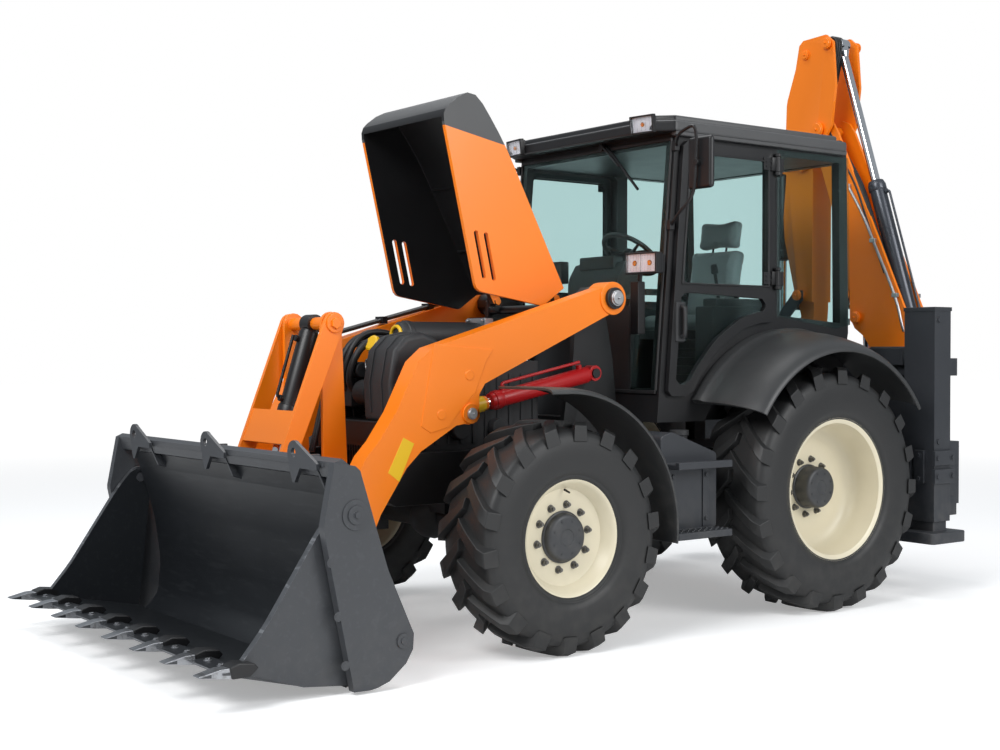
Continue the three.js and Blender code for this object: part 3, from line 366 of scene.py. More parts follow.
EDGE = finish("scuffed_edge", (0.13, 0.135, 0.145), 0.38, metallic=0.7, amount=0.35, scale=22,
              grain=400, bump=0.25, worn=((0.40, 0.41, 0.43), 0.6), worn_scale=34)
ZINC = finish("zinc_fastener", (0.50, 0.51, 0.52), 0.36, metallic=1.0, amount=0.12, scale=40,
              grain=600, bump=0.15)
CHROME = finish("chrome_rod", (0.72, 0.73, 0.75), 0.10, metallic=1.0, amount=0.03, scale=20,
                grain=500, spread=0.04, bump=0.03)
RED = finish("red_paint", (0.50, 0.010, 0.012), 0.34, amount=0.05, grain=240, bump=0.08)
YELLOW = finish("yellow_plate", (0.86, 0.52, 0.01), 0.40, amount=0.03, grain=300, bump=0.04)
RAM_TUBE = finish("ram_tube", (0.060, 0.066, 0.080), 0.28, metallic=0.35, amount=0.06, grain=300,
                  bump=0.08)
CAST = finish("cast_housing", (0.020, 0.021, 0.023), 0.60, amount=0.2, scale=12, grain=140,
              bump=0.5, depth=0.0012)
ROOF = finish("roof_skin", (0.075, 0.076, 0.078), 0.50, amount=0.08, scale=6, grain=700,
              bump=0.25, dust=0.06, dust_top=3.0)
FENDER = finish("fender_skin", (0.036, 0.037, 0.038), 0.42, amount=0.10, scale=7, grain=700,
                bump=0.22, dust=0.12, dust_top=1.5)
HUB = finish("hub_casting", (0.050, 0.052, 0.056), 0.46, metallic=0.2, amount=0.2, scale=18,
             grain=200, bump=0.3, dust=0.15, dust_top=1.0)
WHEEL_NUT = finish("wheel_nut", (0.16, 0.155, 0.145), 0.38, metallic=0.8, amount=0.2, scale=60,
                   grain=500, bump=0.2)
PIN_PAINT = {"kingpost": CHARCOAL, "boom": ORANGE, "dipper": ORANGE, "bell_lever": CHARCOAL,
             "curl_link": CHARCOAL, "dig_bucket": CHARCOAL}
print("finishes", len(bpy.data.materials))

# %% [markdown]
# Cab glass is a thin tinted sheet.  A real refracting shader on a thin sheet is right and
# cheap enough, and the blue-green comes from its base colour.  Lamp lenses are the same
# shader with their own colours over a bright reflector.


# %% Glass and lenses
def clear(name, color, roughness, ior=1.45):
    material, tree, shader = new_material(name)
    preset(shader, {"Metallic": 0.0, "Transmission Weight": 1.0, "IOR": ior})
    varied = add(tree, "ShaderNodeGroup", node_tree=VARIATION)
    preset(varied, {"Color": (*color, 1), "Amount": 0.02, "Scale": 2.0, "Grain": 3.0,
                    "Roughness": roughness, "Roughness Range": 0.01})
    tree.links.new(varied.outputs["Color"], shader.inputs["Base Color"])
    tree.links.new(varied.outputs["Roughness"], shader.inputs["Roughness"])
    return material


GLASS = clear("cab_glass", (0.65, 0.79, 0.785), 0.0, ior=1.12)
LENS = clear("clear_lens", (0.96, 0.97, 1.0), 0.08)
AMBER = clear("amber_lens", (1.00, 0.42, 0.04), 0.10)
RED_LENS = clear("red_lens", (0.70, 0.01, 0.01), 0.12)
REFLECTOR = finish("lamp_reflector", (0.86, 0.87, 0.90), 0.30, metallic=0.15, amount=0.05)
MIRROR = finish("mirror_glass", (0.80, 0.82, 0.84), 0.04, metallic=1.0, amount=0.01, bump=0.0)


# %% Seat cloth
def seat_cloth():
    material, tree, shader = new_material("seat_cloth")
    link = tree.links.new
    preset(shader, {"Sheen Weight": 0.3, "Coat Weight": 0.5, "Coat Roughness": 0.22})
    varied = add(tree, "ShaderNodeGroup", node_tree=VARIATION)
    # The cloth's grey is lighter than the cloth itself: partly its own colour, partly painted sheen
    # for the clear film over the seat.
    preset(varied, {"Color": (0.190, 0.200, 0.205, 1), "Amount": 0.15, "Roughness": 0.85})
    place = add(tree, "ShaderNodeTexCoord")
    weave = add(tree, "ShaderNodeTexWave", wave_type="BANDS", bands_direction="DIAGONAL")
    preset(weave, {"Scale": 160, "Distortion": 1.5})
    link(place.outputs["Object"], weave.inputs["Vector"])
    relief = add(tree, "ShaderNodeBump")
    preset(relief, {"Strength": 0.4, "Distance": 0.0008})
    link(weave.outputs["Fac"], relief.inputs["Height"])
    link(varied.outputs["Color"], shader.inputs["Base Color"])
    link(varied.outputs["Roughness"], shader.inputs["Roughness"])
    link(relief.outputs[0], shader.inputs["Normal"])
    return material


CLOTH = seat_cloth()
print("finishes", sorted(m.name for m in bpy.data.materials))


# %% Floor
FLOOR_FADE = (4.5, 15.0)  # metres from the middle over which the floor turns white


def lay_floor():
    bm = bmesh.new()
    bmesh.ops.create_grid(bm, x_segments=1, y_segments=1, size=60)
    mesh = bpy.data.meshes.new("floor")
    bm.to_mesh(mesh)
    bm.free()
    floor = add_object("floor", mesh)
    material, tree, shader = new_material("floor_white")
    preset(shader, {"Roughness": 0.75, "Specular IOR Level": 0.25,
                    "Emission Color": (1, 1, 1, 1)})
    place = add(tree, "ShaderNodeTexCoord")
    reach = add(tree, "ShaderNodeVectorMath", operation="LENGTH")
    far = add(tree, "ShaderNodeMapRange")
    preset(far, {"From Min": FLOOR_FADE[0], "From Max": FLOOR_FADE[1]})
    shade = add(tree, "ShaderNodeMix", data_type="RGBA")
    preset(shade, {6: (0.88, 0.88, 0.88, 1), 7: (0.0, 0.0, 0.0, 1)})
    path = add(tree, "ShaderNodeLightPath")
    seen = add(tree, "ShaderNodeMath", operation="MAXIMUM")
    glow = add(tree, "ShaderNodeMapRange")
    preset(glow, {"To Min": 0.34, "To Max": 1.0})
    lit = add(tree, "ShaderNodeMath", operation="MULTIPLY")
    link = tree.links.new
    link(place.outputs["Object"], reach.inputs[0])
    link(reach.outputs["Value"], far.inputs["Value"])
    link(far.outputs["Result"], shade.inputs[0])
    link(shade.outputs[2], shader.inputs["Base Color"])
    link(path.outputs["Is Camera Ray"], seen.inputs[0])
    link(path.outputs["Is Transmission Ray"], seen.inputs[1])
    link(far.outputs["Result"], glow.inputs["Value"])
    link(seen.outputs[0], lit.inputs[0])
    link(glow.outputs["Result"], lit.inputs[1])
    link(lit.outputs[0], shader.inputs["Emission Strength"])
    mesh.materials.append(material)
    return floor


lay_floor()
print("floor laid")

# %% [markdown]
# ## Tools for making pieces
# A welded machine is plates, bars, turned parts and bent pipe, so those are the helpers.
# Each starts a bmesh from a primitive or a few points and lets an operator make the shape.


# %% Piece helper
CREASE = 38  # degrees past which an edge counts as sharp


def smooth_by_angle(mesh, degrees=CREASE):
    for polygon in mesh.polygons:
        polygon.use_smooth = True
    mesh.set_sharp_from_angle(angle=math.radians(degrees))


def paint(mesh, material):
    """Gives a mesh one material or several."""
    for one in (material if isinstance(material, (list, tuple)) else (material,)):
        mesh.materials.append(one)


def piece(name, bm, material, body, stands_for=(), bevel=0.0, smooth=CREASE):
    """Turns a bmesh into a named piece that rides on a CAD body."""
    bmesh.ops.recalc_face_normals(bm, faces=bm.faces)
    mesh = bpy.data.meshes.new(name)
    bm.to_mesh(mesh)
    bm.free()
    paint(mesh, material)
    smooth_by_angle(mesh, smooth)
    made = add_object(name, mesh)
    if bevel:
        soften(made, bevel)
    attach(made, body)
    if stands_for:
        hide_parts(*stands_for)
    return made


def soften(made, width, segments=2):
    rounding = made.modifiers.new("rounded_edges", "BEVEL")
    rounding.width = width
    rounding.segments = segments
    rounding.limit_method = "ANGLE"
    rounding.angle_limit = math.radians(CREASE)
    rounding.harden_normals = True


# %% Plates, bars, turned parts and blocks
def drawn_out(bm, faces, shift):
    """Extrudes faces by the vector shift and returns the vertices that moved."""
    grown = bmesh.ops.extrude_face_region(bm, geom=faces)
    moved = [g for g in grown["geom"] if isinstance(g, bmesh.types.BMVert)]
    bmesh.ops.translate(bm, verts=moved, vec=Vector(shift))
    return moved


def plate(bm, outline, shift):
    """A flat outline of points, extruded by the vector shift."""
    corners = [bm.verts.new(point) for point in outline]
    face = bm.faces.new(corners)
    return corners + drawn_out(bm, [face], shift)


def block(bm, low, high):
    low, high = Vector(low), Vector(high)
    size = high - low
    placed = Matrix.Translation((low + high) / 2) @ Matrix.Diagonal((*size, 1))
    return bmesh.ops.create_cube(bm, size=1, matrix=placed)["verts"]


def side_block(bm, side, across, along, up):
    """A block on one side of the machine, between two distances from its middle plane."""
    low, high = sorted(side * x for x in across)
    block(bm, at(low, along[0], up[0]), at(high, along[1], up[1]))


def bar(bm, start, end, radius, end_radius=None, sides=32):
    start, end = Vector(start), Vector(end)
    along = end - start
    placed = (Matrix.Translation((start + end) / 2)
              @ along.to_track_quat("Z", "Y").to_matrix().to_4x4())
    return bmesh.ops.create_cone(
        bm, cap_ends=True, segments=sides, radius1=radius,
        radius2=radius if end_radius is None else end_radius, depth=along.length,
        matrix=placed)["verts"]


def closed_loop(bm, points):
    """Vertices at the points and the edges that join them in a ring."""
    verts = [bm.verts.new(point) for point in points]
    return verts + [bm.edges.new(pair) for pair in zip(verts, verts[1:] + verts[:1])]


def turned(bm, profile, centre, axis, sides=64):
    """A closed profile of (radius, distance along the axis), spun round that axis."""
    centre, axis = Vector(centre), Vector(axis).normalized()
    out = axis.orthogonal().normalized()
    ring = closed_loop(bm, [centre + out * radius + axis * along for radius, along in profile])
    bmesh.ops.spin(bm, geom=ring, cent=centre, axis=axis, angle=math.tau, steps=sides,
                   use_merge=True)
    bmesh.ops.remove_doubles(bm, verts=bm.verts, dist=1e-5)


def hexagon_bolt(bm, centre, axis, radius, height):
    """A bolt head on a washer, standing on centre."""
    centre, axis = Vector(centre), Vector(axis).normalized()
    bar(bm, centre - axis * 0.001, centre + axis * height * 0.2, radius * 1.45, sides=20)
    bar(bm, centre, centre + axis * height, radius, sides=6)


def pin_head(bm, centre, axis, radius, height):
    """A greased pin's end: a turned collar with a smaller boss and a grease nipple."""
    centre, axis = Vector(centre), Vector(axis).normalized()
    bar(bm, centre - axis * 0.002, centre + axis * height * 0.7, radius, sides=32)
    bar(bm, centre + axis * height * 0.7, centre + axis * height, radius * 0.86,
        radius * 0.80, sides=32)
    bar(bm, centre + axis * height, centre + axis * (height + 0.012), radius * 0.16, sides=10)


# %% Hoses and pipes
def pipe(name, points, radius, material, body, round_corners=True):
    """A bent pipe or clamped hose along points, as a bevelled curve turned into a mesh."""
    curve = bpy.data.curves.new(name, "CURVE")
    curve.dimensions = "3D"
    curve.bevel_depth = radius
    curve.bevel_resolution = 3
    curve.resolution_u = 6
    spline = curve.splines.new("NURBS" if round_corners else "POLY")
    spline.points.add(len(points) - 1)
    for target, point in zip(spline.points, points):
        target.co = (*point, 1)
    if round_corners:
        spline.order_u = 3
        spline.use_endpoint_u = True
    curve.use_fill_caps = True
    maker = add_object(name + "_path", curve)
    bpy.context.view_layer.update()
    mesh = bpy.data.meshes.new_from_object(maker.evaluated_get(
        bpy.context.evaluated_depsgraph_get()))
    bpy.data.objects.remove(maker)
    mesh.name = name
    mesh.materials.clear()
    mesh.materials.append(material)
    smooth_by_angle(mesh, 60)
    made = add_object(name, mesh)
    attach(made, body)
    return made


print("helpers ready")

# %% [markdown]
# ## Plates from the frame
# The CAD plates have the right outlines but knife edges.  Real plate edges are ground round
# and catch the light.  A merged copy of each mesh with a small bevel gives that, and stands
# for its CAD node.


# %% Rounded copies of the CAD plates
BODY_OF = {node: body for body, nodes in frame["record"]["behaviour"]["bodies"].items()
           for node in nodes}


def bake(made):
    """Leaves an object with the mesh that its modifiers give."""
    bpy.context.view_layer.update()
    baked = bpy.data.meshes.new_from_object(
        made.evaluated_get(bpy.context.evaluated_depsgraph_get()))
    made.modifiers.clear()
    made.data = baked


def cut_out(made, bm):
    """Cuts the closed shapes of a bmesh out of an object."""
    mesh = bpy.data.meshes.new("cutter")
    bmesh.ops.recalc_face_normals(bm, faces=bm.faces)
    bm.to_mesh(mesh)
    bm.free()
    cutter = add_object("cutter", mesh)
    cutting = made.modifiers.new("cut", "BOOLEAN")
    cutting.operation, cutting.solver, cutting.object = "DIFFERENCE", "EXACT", cutter
    bake(made)
    bpy.data.objects.remove(cutter)


def plated(node, material, width, choose=None, cuts=(), trim=None):
    """A merged copy of a CAD node with rounded edges; choose picks a material per face, and
    each cut is a (point, normal) plane that gives that choice a clean line."""
    bm = bmesh.new()
    bm.from_mesh(frame["nodes"][node].data)
    bmesh.ops.remove_doubles(bm, verts=bm.verts, dist=2e-5)
    bmesh.ops.dissolve_limit(bm, angle_limit=math.radians(0.8), verts=bm.verts,
                             edges=bm.edges)
    for point, normal in cuts:
        bmesh.ops.bisect_plane(bm, geom=bm.verts[:] + bm.edges[:] + bm.faces[:],
                               plane_co=point, plane_no=normal)
    if trim:
        bmesh.ops.bisect_plane(bm, geom=bm.verts[:] + bm.edges[:] + bm.faces[:],
                               plane_co=trim[0], plane_no=trim[1], clear_outer=True)
        bmesh.ops.holes_fill(bm, edges=[e for e in bm.edges if e.is_boundary], sides=0)
    mesh = bpy.data.meshes.new(node + "_skin")
    if choose:
        for face in bm.faces:
            face.material_index = choose(face)
    bm.to_mesh(mesh)
    bm.free()
    paint(mesh, material)
    smooth_by_angle(mesh)
    made = add_object(node + "_skin", mesh)
    if width:
        soften(made, width)
    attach(made, BODY_OF[node])
    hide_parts(node)
    return made


PLATED = {
    "chassis_frame": (BLACK, 0.006), "engine_block": (CAST, 0.010),
    "front_axle": (CAST, 0.006), "knuckle_left": (CAST, 0.006), "knuckle_right": (CAST, 0.006),
    "rear_axle": (CAST, 0.006), "loader_tower": (BLACK, 0.005), "loader_arms": (ORANGE, 0.007),
    "tilt_lever": (ORANGE, 0.004), "tilt_link": (ORANGE, 0.004),
    "cab_frame": (BLACK, 0.008), "door_left": (BLACK, 0.005),
    "door_right": (BLACK, 0.005), "dashboard": (PLASTIC, 0.008),
    "step_left": (CHARCOAL, 0.006), "step_right": (CHARCOAL, 0.006),
    "rear_frame": (CHARCOAL, 0.006), "stabilizer_left": (CHARCOAL, 0.006),
    "stabilizer_right": (CHARCOAL, 0.006), "carriage": (CHARCOAL, 0.006),
    "kingpost": (CHARCOAL, 0.006), "boom": (ORANGE, 0.005), "dipper": (ORANGE, 0.005),
    "dig_bucket": (CHARCOAL, 0.006), "bell_lever": (CHARCOAL, 0.004),
    "curl_link": (CHARCOAL, 0.004),
}
for node, (material, width) in PLATED.items():
    plated(node, material, width)
for node in ("windscreen", "rear_glass", "door_glass_left", "door_glass_right"):
    plated(node, GLASS, 0)
print("plates", len(PLATED))

# %% [markdown]
# ## Wheels
# Each wheel is a tubeless tractor tyre on a dished steel rim.  The carcass and the rim are
# turned shapes, so they are spun from half profiles.  The lugs are moulded bars that run from
# each shoulder towards the middle, one side half a pitch behind the other.  Texture would be
# cheaper, but the lugs stand 35 mm proud and show against the light.

# %% Wheel sizes
WHEELS = {
    "front": dict(radius=0.588, width=0.400, x=1.000, y=-0.895, bead=0.285, lugs=18,
                  disc=1.085, hub=1.130, lean=0.17),
    "rear": dict(radius=0.717, width=0.460, x=0.935, y=1.135, bead=0.390, lugs=20,
                 disc=0.905, hub=1.015, lean=0.21),
}


def carcass_profile(w):
    """Half the tyre's section, then its mirror image, as (radius, distance across)."""
    half, bead, top = w["width"] / 2, w["bead"], w["radius"]
    middle = (bead + top) / 2
    near = [(bead + 0.002, 0.80), (bead + 0.022, 0.88), (bead + 0.034, 0.875),
            (bead + 0.046, 0.93), (bead + 0.075, 0.965), (middle - 0.01, 0.99),
            (middle + 0.03, 0.985), (top - 0.085, 0.95), (top - 0.056, 0.89),
            (top - 0.043, 0.78), (top - 0.037, 0.40), (top - 0.035, 0.0)]
    near = [(r, share * half) for r, share in near]
    return near + [(r, -across) for r, across in reversed(near[:-1])]


def add_lug(bm, w, centre, turn, hand):
    """One tread bar, bent round the tyre from the middle (t = 0) to a shoulder (t = 1)."""
    half, top = w["width"] / 2, w["radius"]
    known = len(bm.verts)
    made = bmesh.ops.create_cube(bm, size=1)["verts"]
    edges = {e for v in made for e in v.link_edges}
    along = [e for e in edges if abs(e.verts[0].co.x - e.verts[1].co.x) > 0.5]
    bmesh.ops.subdivide_edges(bm, edges=along, cuts=5)
    for vert in list(bm.verts)[known:]:
        t, across, up = vert.co.x + 0.5, vert.co.y, vert.co.z > 0
        wide = (0.066 + 0.030 * t) * (0.84 if up else 1.10)
        shoulder = max(0.0, t - 0.78) / 0.22
        outer = top - 0.001 - 0.020 * shoulder ** 2
        height = outer if up else outer - 0.050 - 0.03 * shoulder
        reach = -0.05 + 1.05 * t - (0.035 * shoulder if up else 0.0)
        swing = w["lean"] * t * (1.2 - 0.2 * t)
        angle = turn + (swing + across * wide) / top
        vert.co = centre + Vector((hand * half * reach, -height * math.sin(angle),
                                   height * math.cos(angle)))


def build_tyre(end, label, side):
    w = WHEELS[end]
    centre = Vector((side * w["x"], w["y"], w["radius"]))
    bm = bmesh.new()
    turned(bm, carcass_profile(w), centre, (1, 0, 0), sides=96)
    for i in range(w["lugs"]):
        turn = math.tau * i / w["lugs"]
        add_lug(bm, w, centre, turn, 1)
        add_lug(bm, w, centre, turn + math.pi / w["lugs"], -1)
    return piece(f"tyre_{end}_{label}_skin", bm, RUBBER, f"{end}_wheel_{label}",
                 stands_for=[f"tyre_{end}_{label}"], bevel=0.0035)


for end in WHEELS:
    for label, side in SIDES:
        build_tyre(end, label, side)
print("tyres with", {end: WHEELS[end]["lugs"] * 2 for end in WHEELS}, "lugs each")


# %% Rims, hubs and wheel bolts
HUB_BOLTS, HUB_RING = 8, 0.088
WHEEL_BOLTS, WHEEL_RING = 10, 0.165


def rim_profile(w):
    """The rim's section: the dish seen from outside, then the well seen from inside."""
    half, bead, disc = w["width"] / 2, w["bead"], w["disc"] - w["x"]
    lip, wall = half - 0.028, 0.010
    face = [(0.100, disc), (bead * 0.72, disc + 0.002), (bead * 0.86, disc + 0.010),
            (bead - 0.028, disc + 0.034), (bead - 0.012, min(disc + 0.08, lip - 0.03)),
            (bead - 0.004, lip - 0.014), (bead + 0.014, lip - 0.003), (bead + 0.028, lip),
            (bead + 0.034, lip - 0.008), (bead + 0.026, lip - 0.016)]
    behind = [(bead + 0.006, lip - 0.024), (bead + 0.001, lip - 0.050), (bead - 0.004, 0.0),
              (bead + 0.001, -lip + 0.050), (bead + 0.006, -lip + 0.024),
              (bead + 0.026, -lip + 0.016), (bead + 0.034, -lip + 0.008),
              (bead + 0.028, -lip), (bead + 0.012, -lip + 0.004), (bead - 0.006, -lip + 0.018),
              (bead - 0.016, disc - 0.045), (bead * 0.86, disc - wall - 0.006),
              (bead * 0.72, disc - wall), (0.100, disc - wall)]
    return face + behind


def build_rim(end, label, side):
    w = WHEELS[end]
    centre = Vector((side * w["x"], w["y"], w["radius"]))
    body = f"{end}_wheel_{label}"
    bm = bmesh.new()
    turned(bm, rim_profile(w), centre, (side, 0, 0), sides=96)
    piece(f"rim_{end}_{label}_skin", bm, CREAM, body,
          stands_for=[f"rim_{end}_{label}"], smooth=50)
    disc, hub = w["disc"] - w["x"], w["hub"] - w["x"]
    bm = bmesh.new()
    turned(bm, [(0.0005, hub - 0.004), (0.040, hub - 0.004), (0.044, hub), (0.100, hub),
                (0.112, hub - 0.004), (0.119, hub - 0.012), (0.122, hub - 0.024),
                (0.124, disc + 0.012), (0.132, disc + 0.008), (0.134, disc - 0.012),
                (0.122, disc - 0.014), (0.0005, disc - 0.014)], centre, (side, 0, 0), sides=64)
    for i in range(HUB_BOLTS):
        a = math.tau * (i + 0.5) / HUB_BOLTS
        spot = centre + Vector((side * (hub - 0.018), HUB_RING * math.cos(a),
                                HUB_RING * math.sin(a)))
        hexagon_bolt(bm, spot + Vector((side * 0.018, 0, 0)), (side, 0, 0), 0.007, 0.003)
    piece(f"hub_{end}_{label}", bm, HUB, body, bevel=0.0015)
    bm = bmesh.new()
    for i in range(WHEEL_BOLTS):
        a = math.tau * (i + 0.25) / WHEEL_BOLTS
        out = Vector((0, math.cos(a), math.sin(a)))
        spot = centre + Vector((side * (disc + 0.001), 0, 0)) + out * WHEEL_RING
        bar(bm, spot, spot + Vector((side * 0.005, 0, 0)), 0.021, 0.019, sides=24)
        bar(bm, spot, spot + Vector((side * 0.022, 0, 0)), 0.0145, sides=6)
        bar(bm, spot, spot + Vector((side * 0.032, 0, 0)), 0.0085, 0.0080, sides=12)
    piece(f"wheel_bolts_{end}_{label}", bm, WHEEL_NUT, body, bevel=0.001)
    bm = bmesh.new()
    valve = centre + Vector((side * (disc + 0.02), 0, w["bead"] - 0.045))
    bar(bm, valve, valve + Vector((side * 0.04, 0, -0.012)), 0.006, 0.005, sides=12)
    piece(f"valve_{end}_{label}", bm, HOSE, body)


for end in WHEELS:
    for label, side in SIDES:
        build_rim(end, label, side)
print("rims, hubs and bolts on 4 wheels")

# %% [markdown]
# ## Hydraulic rams
# Every joint on the two working ends is driven by a ram: a honed tube with a base eye, a
# screwed gland, and a hard chromed rod with an eye of its own.  The lathe makes all of those.
# The tube rides with its base pin and the rod with its eye, so the two slide as the arm moves.


# %% Rams
def ram(prefix, base, eye, *, radius, length, half, overlap, paint, pin=0.028):
    base, eye = Vector(base), Vector(eye)
    along = (eye - base).normalized()
    sideways = Vector((1, 0, 0)) if abs(along.x) < 1e-6 else Vector((0, 1, 0))
    barrel, rod = f"{prefix}_barrel", f"{prefix}_rod"
    if "_left" in prefix or "_right" in prefix:
        stem, label = prefix.rsplit("_", 1)
        barrel, rod = f"{stem}_barrel_{label}", f"{stem}_rod_{label}"
    bm = bmesh.new()
    turned(bm, [(0.001, radius * 0.7), (radius * 0.90, radius * 0.72), (radius, radius * 1.05),
                (radius, length - 0.078), (radius + 0.004, length - 0.074),
                (radius + 0.006, length - 0.068), (radius + 0.006, length - 0.030),
                (radius + 0.001, length - 0.026), (radius + 0.001, length - 0.018),
                (radius - 0.004, length - 0.004), (radius * 0.66, length),
                (radius * 0.60, length + 0.004), (0.001, length + 0.004)], base, along, 48)
    bar(bm, base - sideways * half, base + sideways * half, radius * 0.95, sides=40)
    up = along.cross(sideways).normalized()
    if up.z < 0:
        up = -up
    for spot in (radius * 1.9, length - 0.10):
        port = base + along * spot
        bar(bm, port, port + up * (radius + 0.020), 0.017, sides=24)
    piece(f"{barrel}_skin", bm, paint, BODY_OF[barrel],
          stands_for=[barrel], bevel=0.002)
    near, far = base + along * radius * 1.9, base + along * (length - 0.10)
    rise = up * (radius + 0.034)
    pipe(f"{prefix}_feed_pipe", [far + rise * 0.7, far + rise, far + rise - along * 0.04,
                                 near + rise + along * 0.10, near + rise + along * 0.03,
                                 near + rise - along * 0.01], 0.0085, paint, BODY_OF[barrel])
    bm = bmesh.new()
    shaft_end = eye - along * radius * 0.8
    bar(bm, base + along * (length - overlap), shaft_end, radius * 0.56, sides=40)
    bar(bm, shaft_end - along * 0.05, shaft_end - along * 0.012, radius * 0.56, radius * 0.80,
        sides=40)
    bar(bm, shaft_end - along * 0.012, eye - along * radius * 0.4, radius * 0.80, sides=40)
    bar(bm, eye - sideways * half, eye + sideways * half, radius * 0.85, sides=40)
    return piece(f"{rod}_skin", bm, CHROME, BODY_OF[rod], stands_for=[rod],
                 bevel=0.0012)


# Pins of the loader as (distance from the rear axle, height), and of the digging arm as
# (reach, height).
ARM_PIVOT, JAW_PIVOT = (-1.325, 1.817), (-3.333, 0.801)
LIFT_BASE, LIFT_PIN = (-1.330, 1.400), (-2.294, 1.202)
TILT_PIN, TILT_FOOT = (-2.856, 1.668), (-3.100, 0.868)
BOOM_RAM, DIPPER_RAM, CURL_RAM = (((0.420, 0.440), (0.500, 1.760)),
                                  ((0.060, 1.535), (0.738, 3.700)),
                                  ((1.275, 2.900), (1.288, 1.642)))
LIFT_X = 0.487  # the lift rams' distance from the middle plane


for label, side in SIDES:
    ram(f"lift_{label}", at(side * LIFT_X, *LIFT_BASE), at(side * LIFT_X, *LIFT_PIN),
        radius=0.046, length=0.735, half=0.034, overlap=0.435, paint=RED)
    eye = at(side * LIFT_X, *LIFT_PIN)
    bm = bmesh.new()
    bar(bm, eye, eye + Vector((side * 0.048, 0, 0)), 0.026, sides=32)
    piece(f"lift_pin_{label}", bm, ZINC, f"lift_rod_{label}")
    bm = bmesh.new()
    back = (at(side * LIFT_X, *LIFT_BASE) - eye).normalized()
    bar(bm, eye + back * 0.025, eye + back * 0.225, 0.038, 0.040, sides=40)
    bar(bm, eye - Vector((0.036, 0, 0)), eye + Vector((0.036, 0, 0)), 0.046, sides=40)
    piece(f"lift_rod_head_{label}", bm, ORANGE, f"lift_rod_{label}",
          bevel=0.003)
    bm = bmesh.new()
    bar(bm, eye + back * 0.120, eye + back * 0.205, 0.0415, 0.0420, sides=40)
    piece(f"lift_blank_band_{label}", bm, YELLOW, f"lift_rod_{label}")
ram("tilt", at(0, *TILT_PIN), at(0, *TILT_FOOT), radius=0.052, length=0.525,
    half=0.046, overlap=0.215, paint=BLACK)
ram("boom", arm_at(*BOOM_RAM[0]), arm_at(*BOOM_RAM[1]), radius=0.058, length=0.790,
    half=0.048, overlap=0.270, paint=CHARCOAL)
ram("dipper", arm_at(*DIPPER_RAM[0]), arm_at(*DIPPER_RAM[1]), radius=0.056, length=1.230,
    half=0.044, overlap=0.150, paint=RAM_TUBE)
ram("curl", arm_at(*CURL_RAM[0]), arm_at(*CURL_RAM[1]), radius=0.048, length=0.700,
    half=0.040, overlap=0.230, paint=CHARCOAL)
print("rams", [n for n in BODY_OF if n.endswith("_barrel")])

# %% [markdown]
# ## Loader arms
# The arms are boxes welded from plate, so they carry pins with greased heads, small round
# plugs over their tooling holes and a blank plate where a rating plate would be.

# %% Pins and plugs of the loader
for label, side in SIDES:
    bm = bmesh.new()
    pivot = at(side * 0.686, *ARM_PIVOT)
    bar(bm, pivot - Vector((side * 0.020, 0, 0)), pivot + Vector((side * 0.002, 0, 0)), 0.060,
        sides=48)
    piece(f"arm_pivot_ring_{label}", bm, BLACK, "machine", bevel=0.002)
    bm = bmesh.new()
    pin_head(bm, pivot, (side, 0, 0), 0.044, 0.026)
    piece(f"arm_pivot_cap_{label}", bm, ZINC, "machine", bevel=0.002)
    bm = bmesh.new()
    boss = at(side * 0.660, *ARM_PIVOT)
    bar(bm, boss - Vector((side * 0.01, 0, 0)), boss + Vector((side * 0.008, 0, 0)), 0.092,
        sides=56)
    bar(bm, at(side * 0.652, *LIFT_PIN), at(side * 0.674, *LIFT_PIN), 0.052, sides=40)
    piece(f"arm_bosses_{label}", bm, ORANGE, "arms", bevel=0.003)
    bm = bmesh.new()
    pin_head(bm, at(side * 0.674, *LIFT_PIN), (side, 0, 0), 0.030, 0.014)
    pin_head(bm, at(side * 0.722, -3.040, 0.330), (side, 0, 0), 0.042, 0.020)
    piece(f"arm_pin_heads_{label}", bm, ZINC, "arms", bevel=0.0015)
    bm = bmesh.new()
    plate(bm, [at(side * 0.655, y, z) for y, z in (
        (-2.520, 1.560), (-2.150, 1.532), (-2.195, 1.470), (-2.262, 1.312), (-2.366, 1.210),
        (-2.430, 1.136), (-2.540, 1.108), (-2.600, 1.145))], (side * 0.0085, 0, 0))
    for y, z in ((-2.300, 1.400), (-2.475, 1.200)):
        bar(bm, at(side * 0.655, y, z), at(side * 0.667, y, z), 0.030, 0.026, sides=36)
    piece(f"arm_elbow_panel_{label}", bm, ORANGE, "arms", bevel=0.003)
    bm = bmesh.new()
    plate(bm, [at(side * 0.658, y, z) for y, z in (
        (-2.704, 1.092), (-2.640, 1.060), (-2.728, 0.872), (-2.794, 0.920))],
          (side * 0.0035, 0, 0))
    piece(f"blank_plate_{label}", bm, YELLOW, "arms", bevel=0.001)
    bm = bmesh.new()
    hexagon_bolt(bm, at(side * 0.246, *TILT_PIN), (side, 0, 0), 0.030, 0.024)
    bar(bm, at(side * 0.240, *TILT_PIN), at(side * 0.256, *TILT_PIN), 0.050, sides=36)
    piece(f"tilt_top_pin_{label}", bm, ORANGE, "tilt_lever", bevel=0.003)
    bm = bmesh.new()
    bar(bm, at(side * 0.218, -3.200, 0.805), at(side * 0.262, -3.200, 0.805), 0.040, sides=36)
    piece(f"tilt_low_pin_{label}", bm, BLACK, "bucket", bevel=0.0015)
print("loader pins on", [label for label, _ in SIDES])

# %% [markdown]
# Oil reaches the bucket through bent steel pipes along the arms and short hoses at each
# pivot.  Every hose here rides whole on one moving piece, so none crosses a joint.

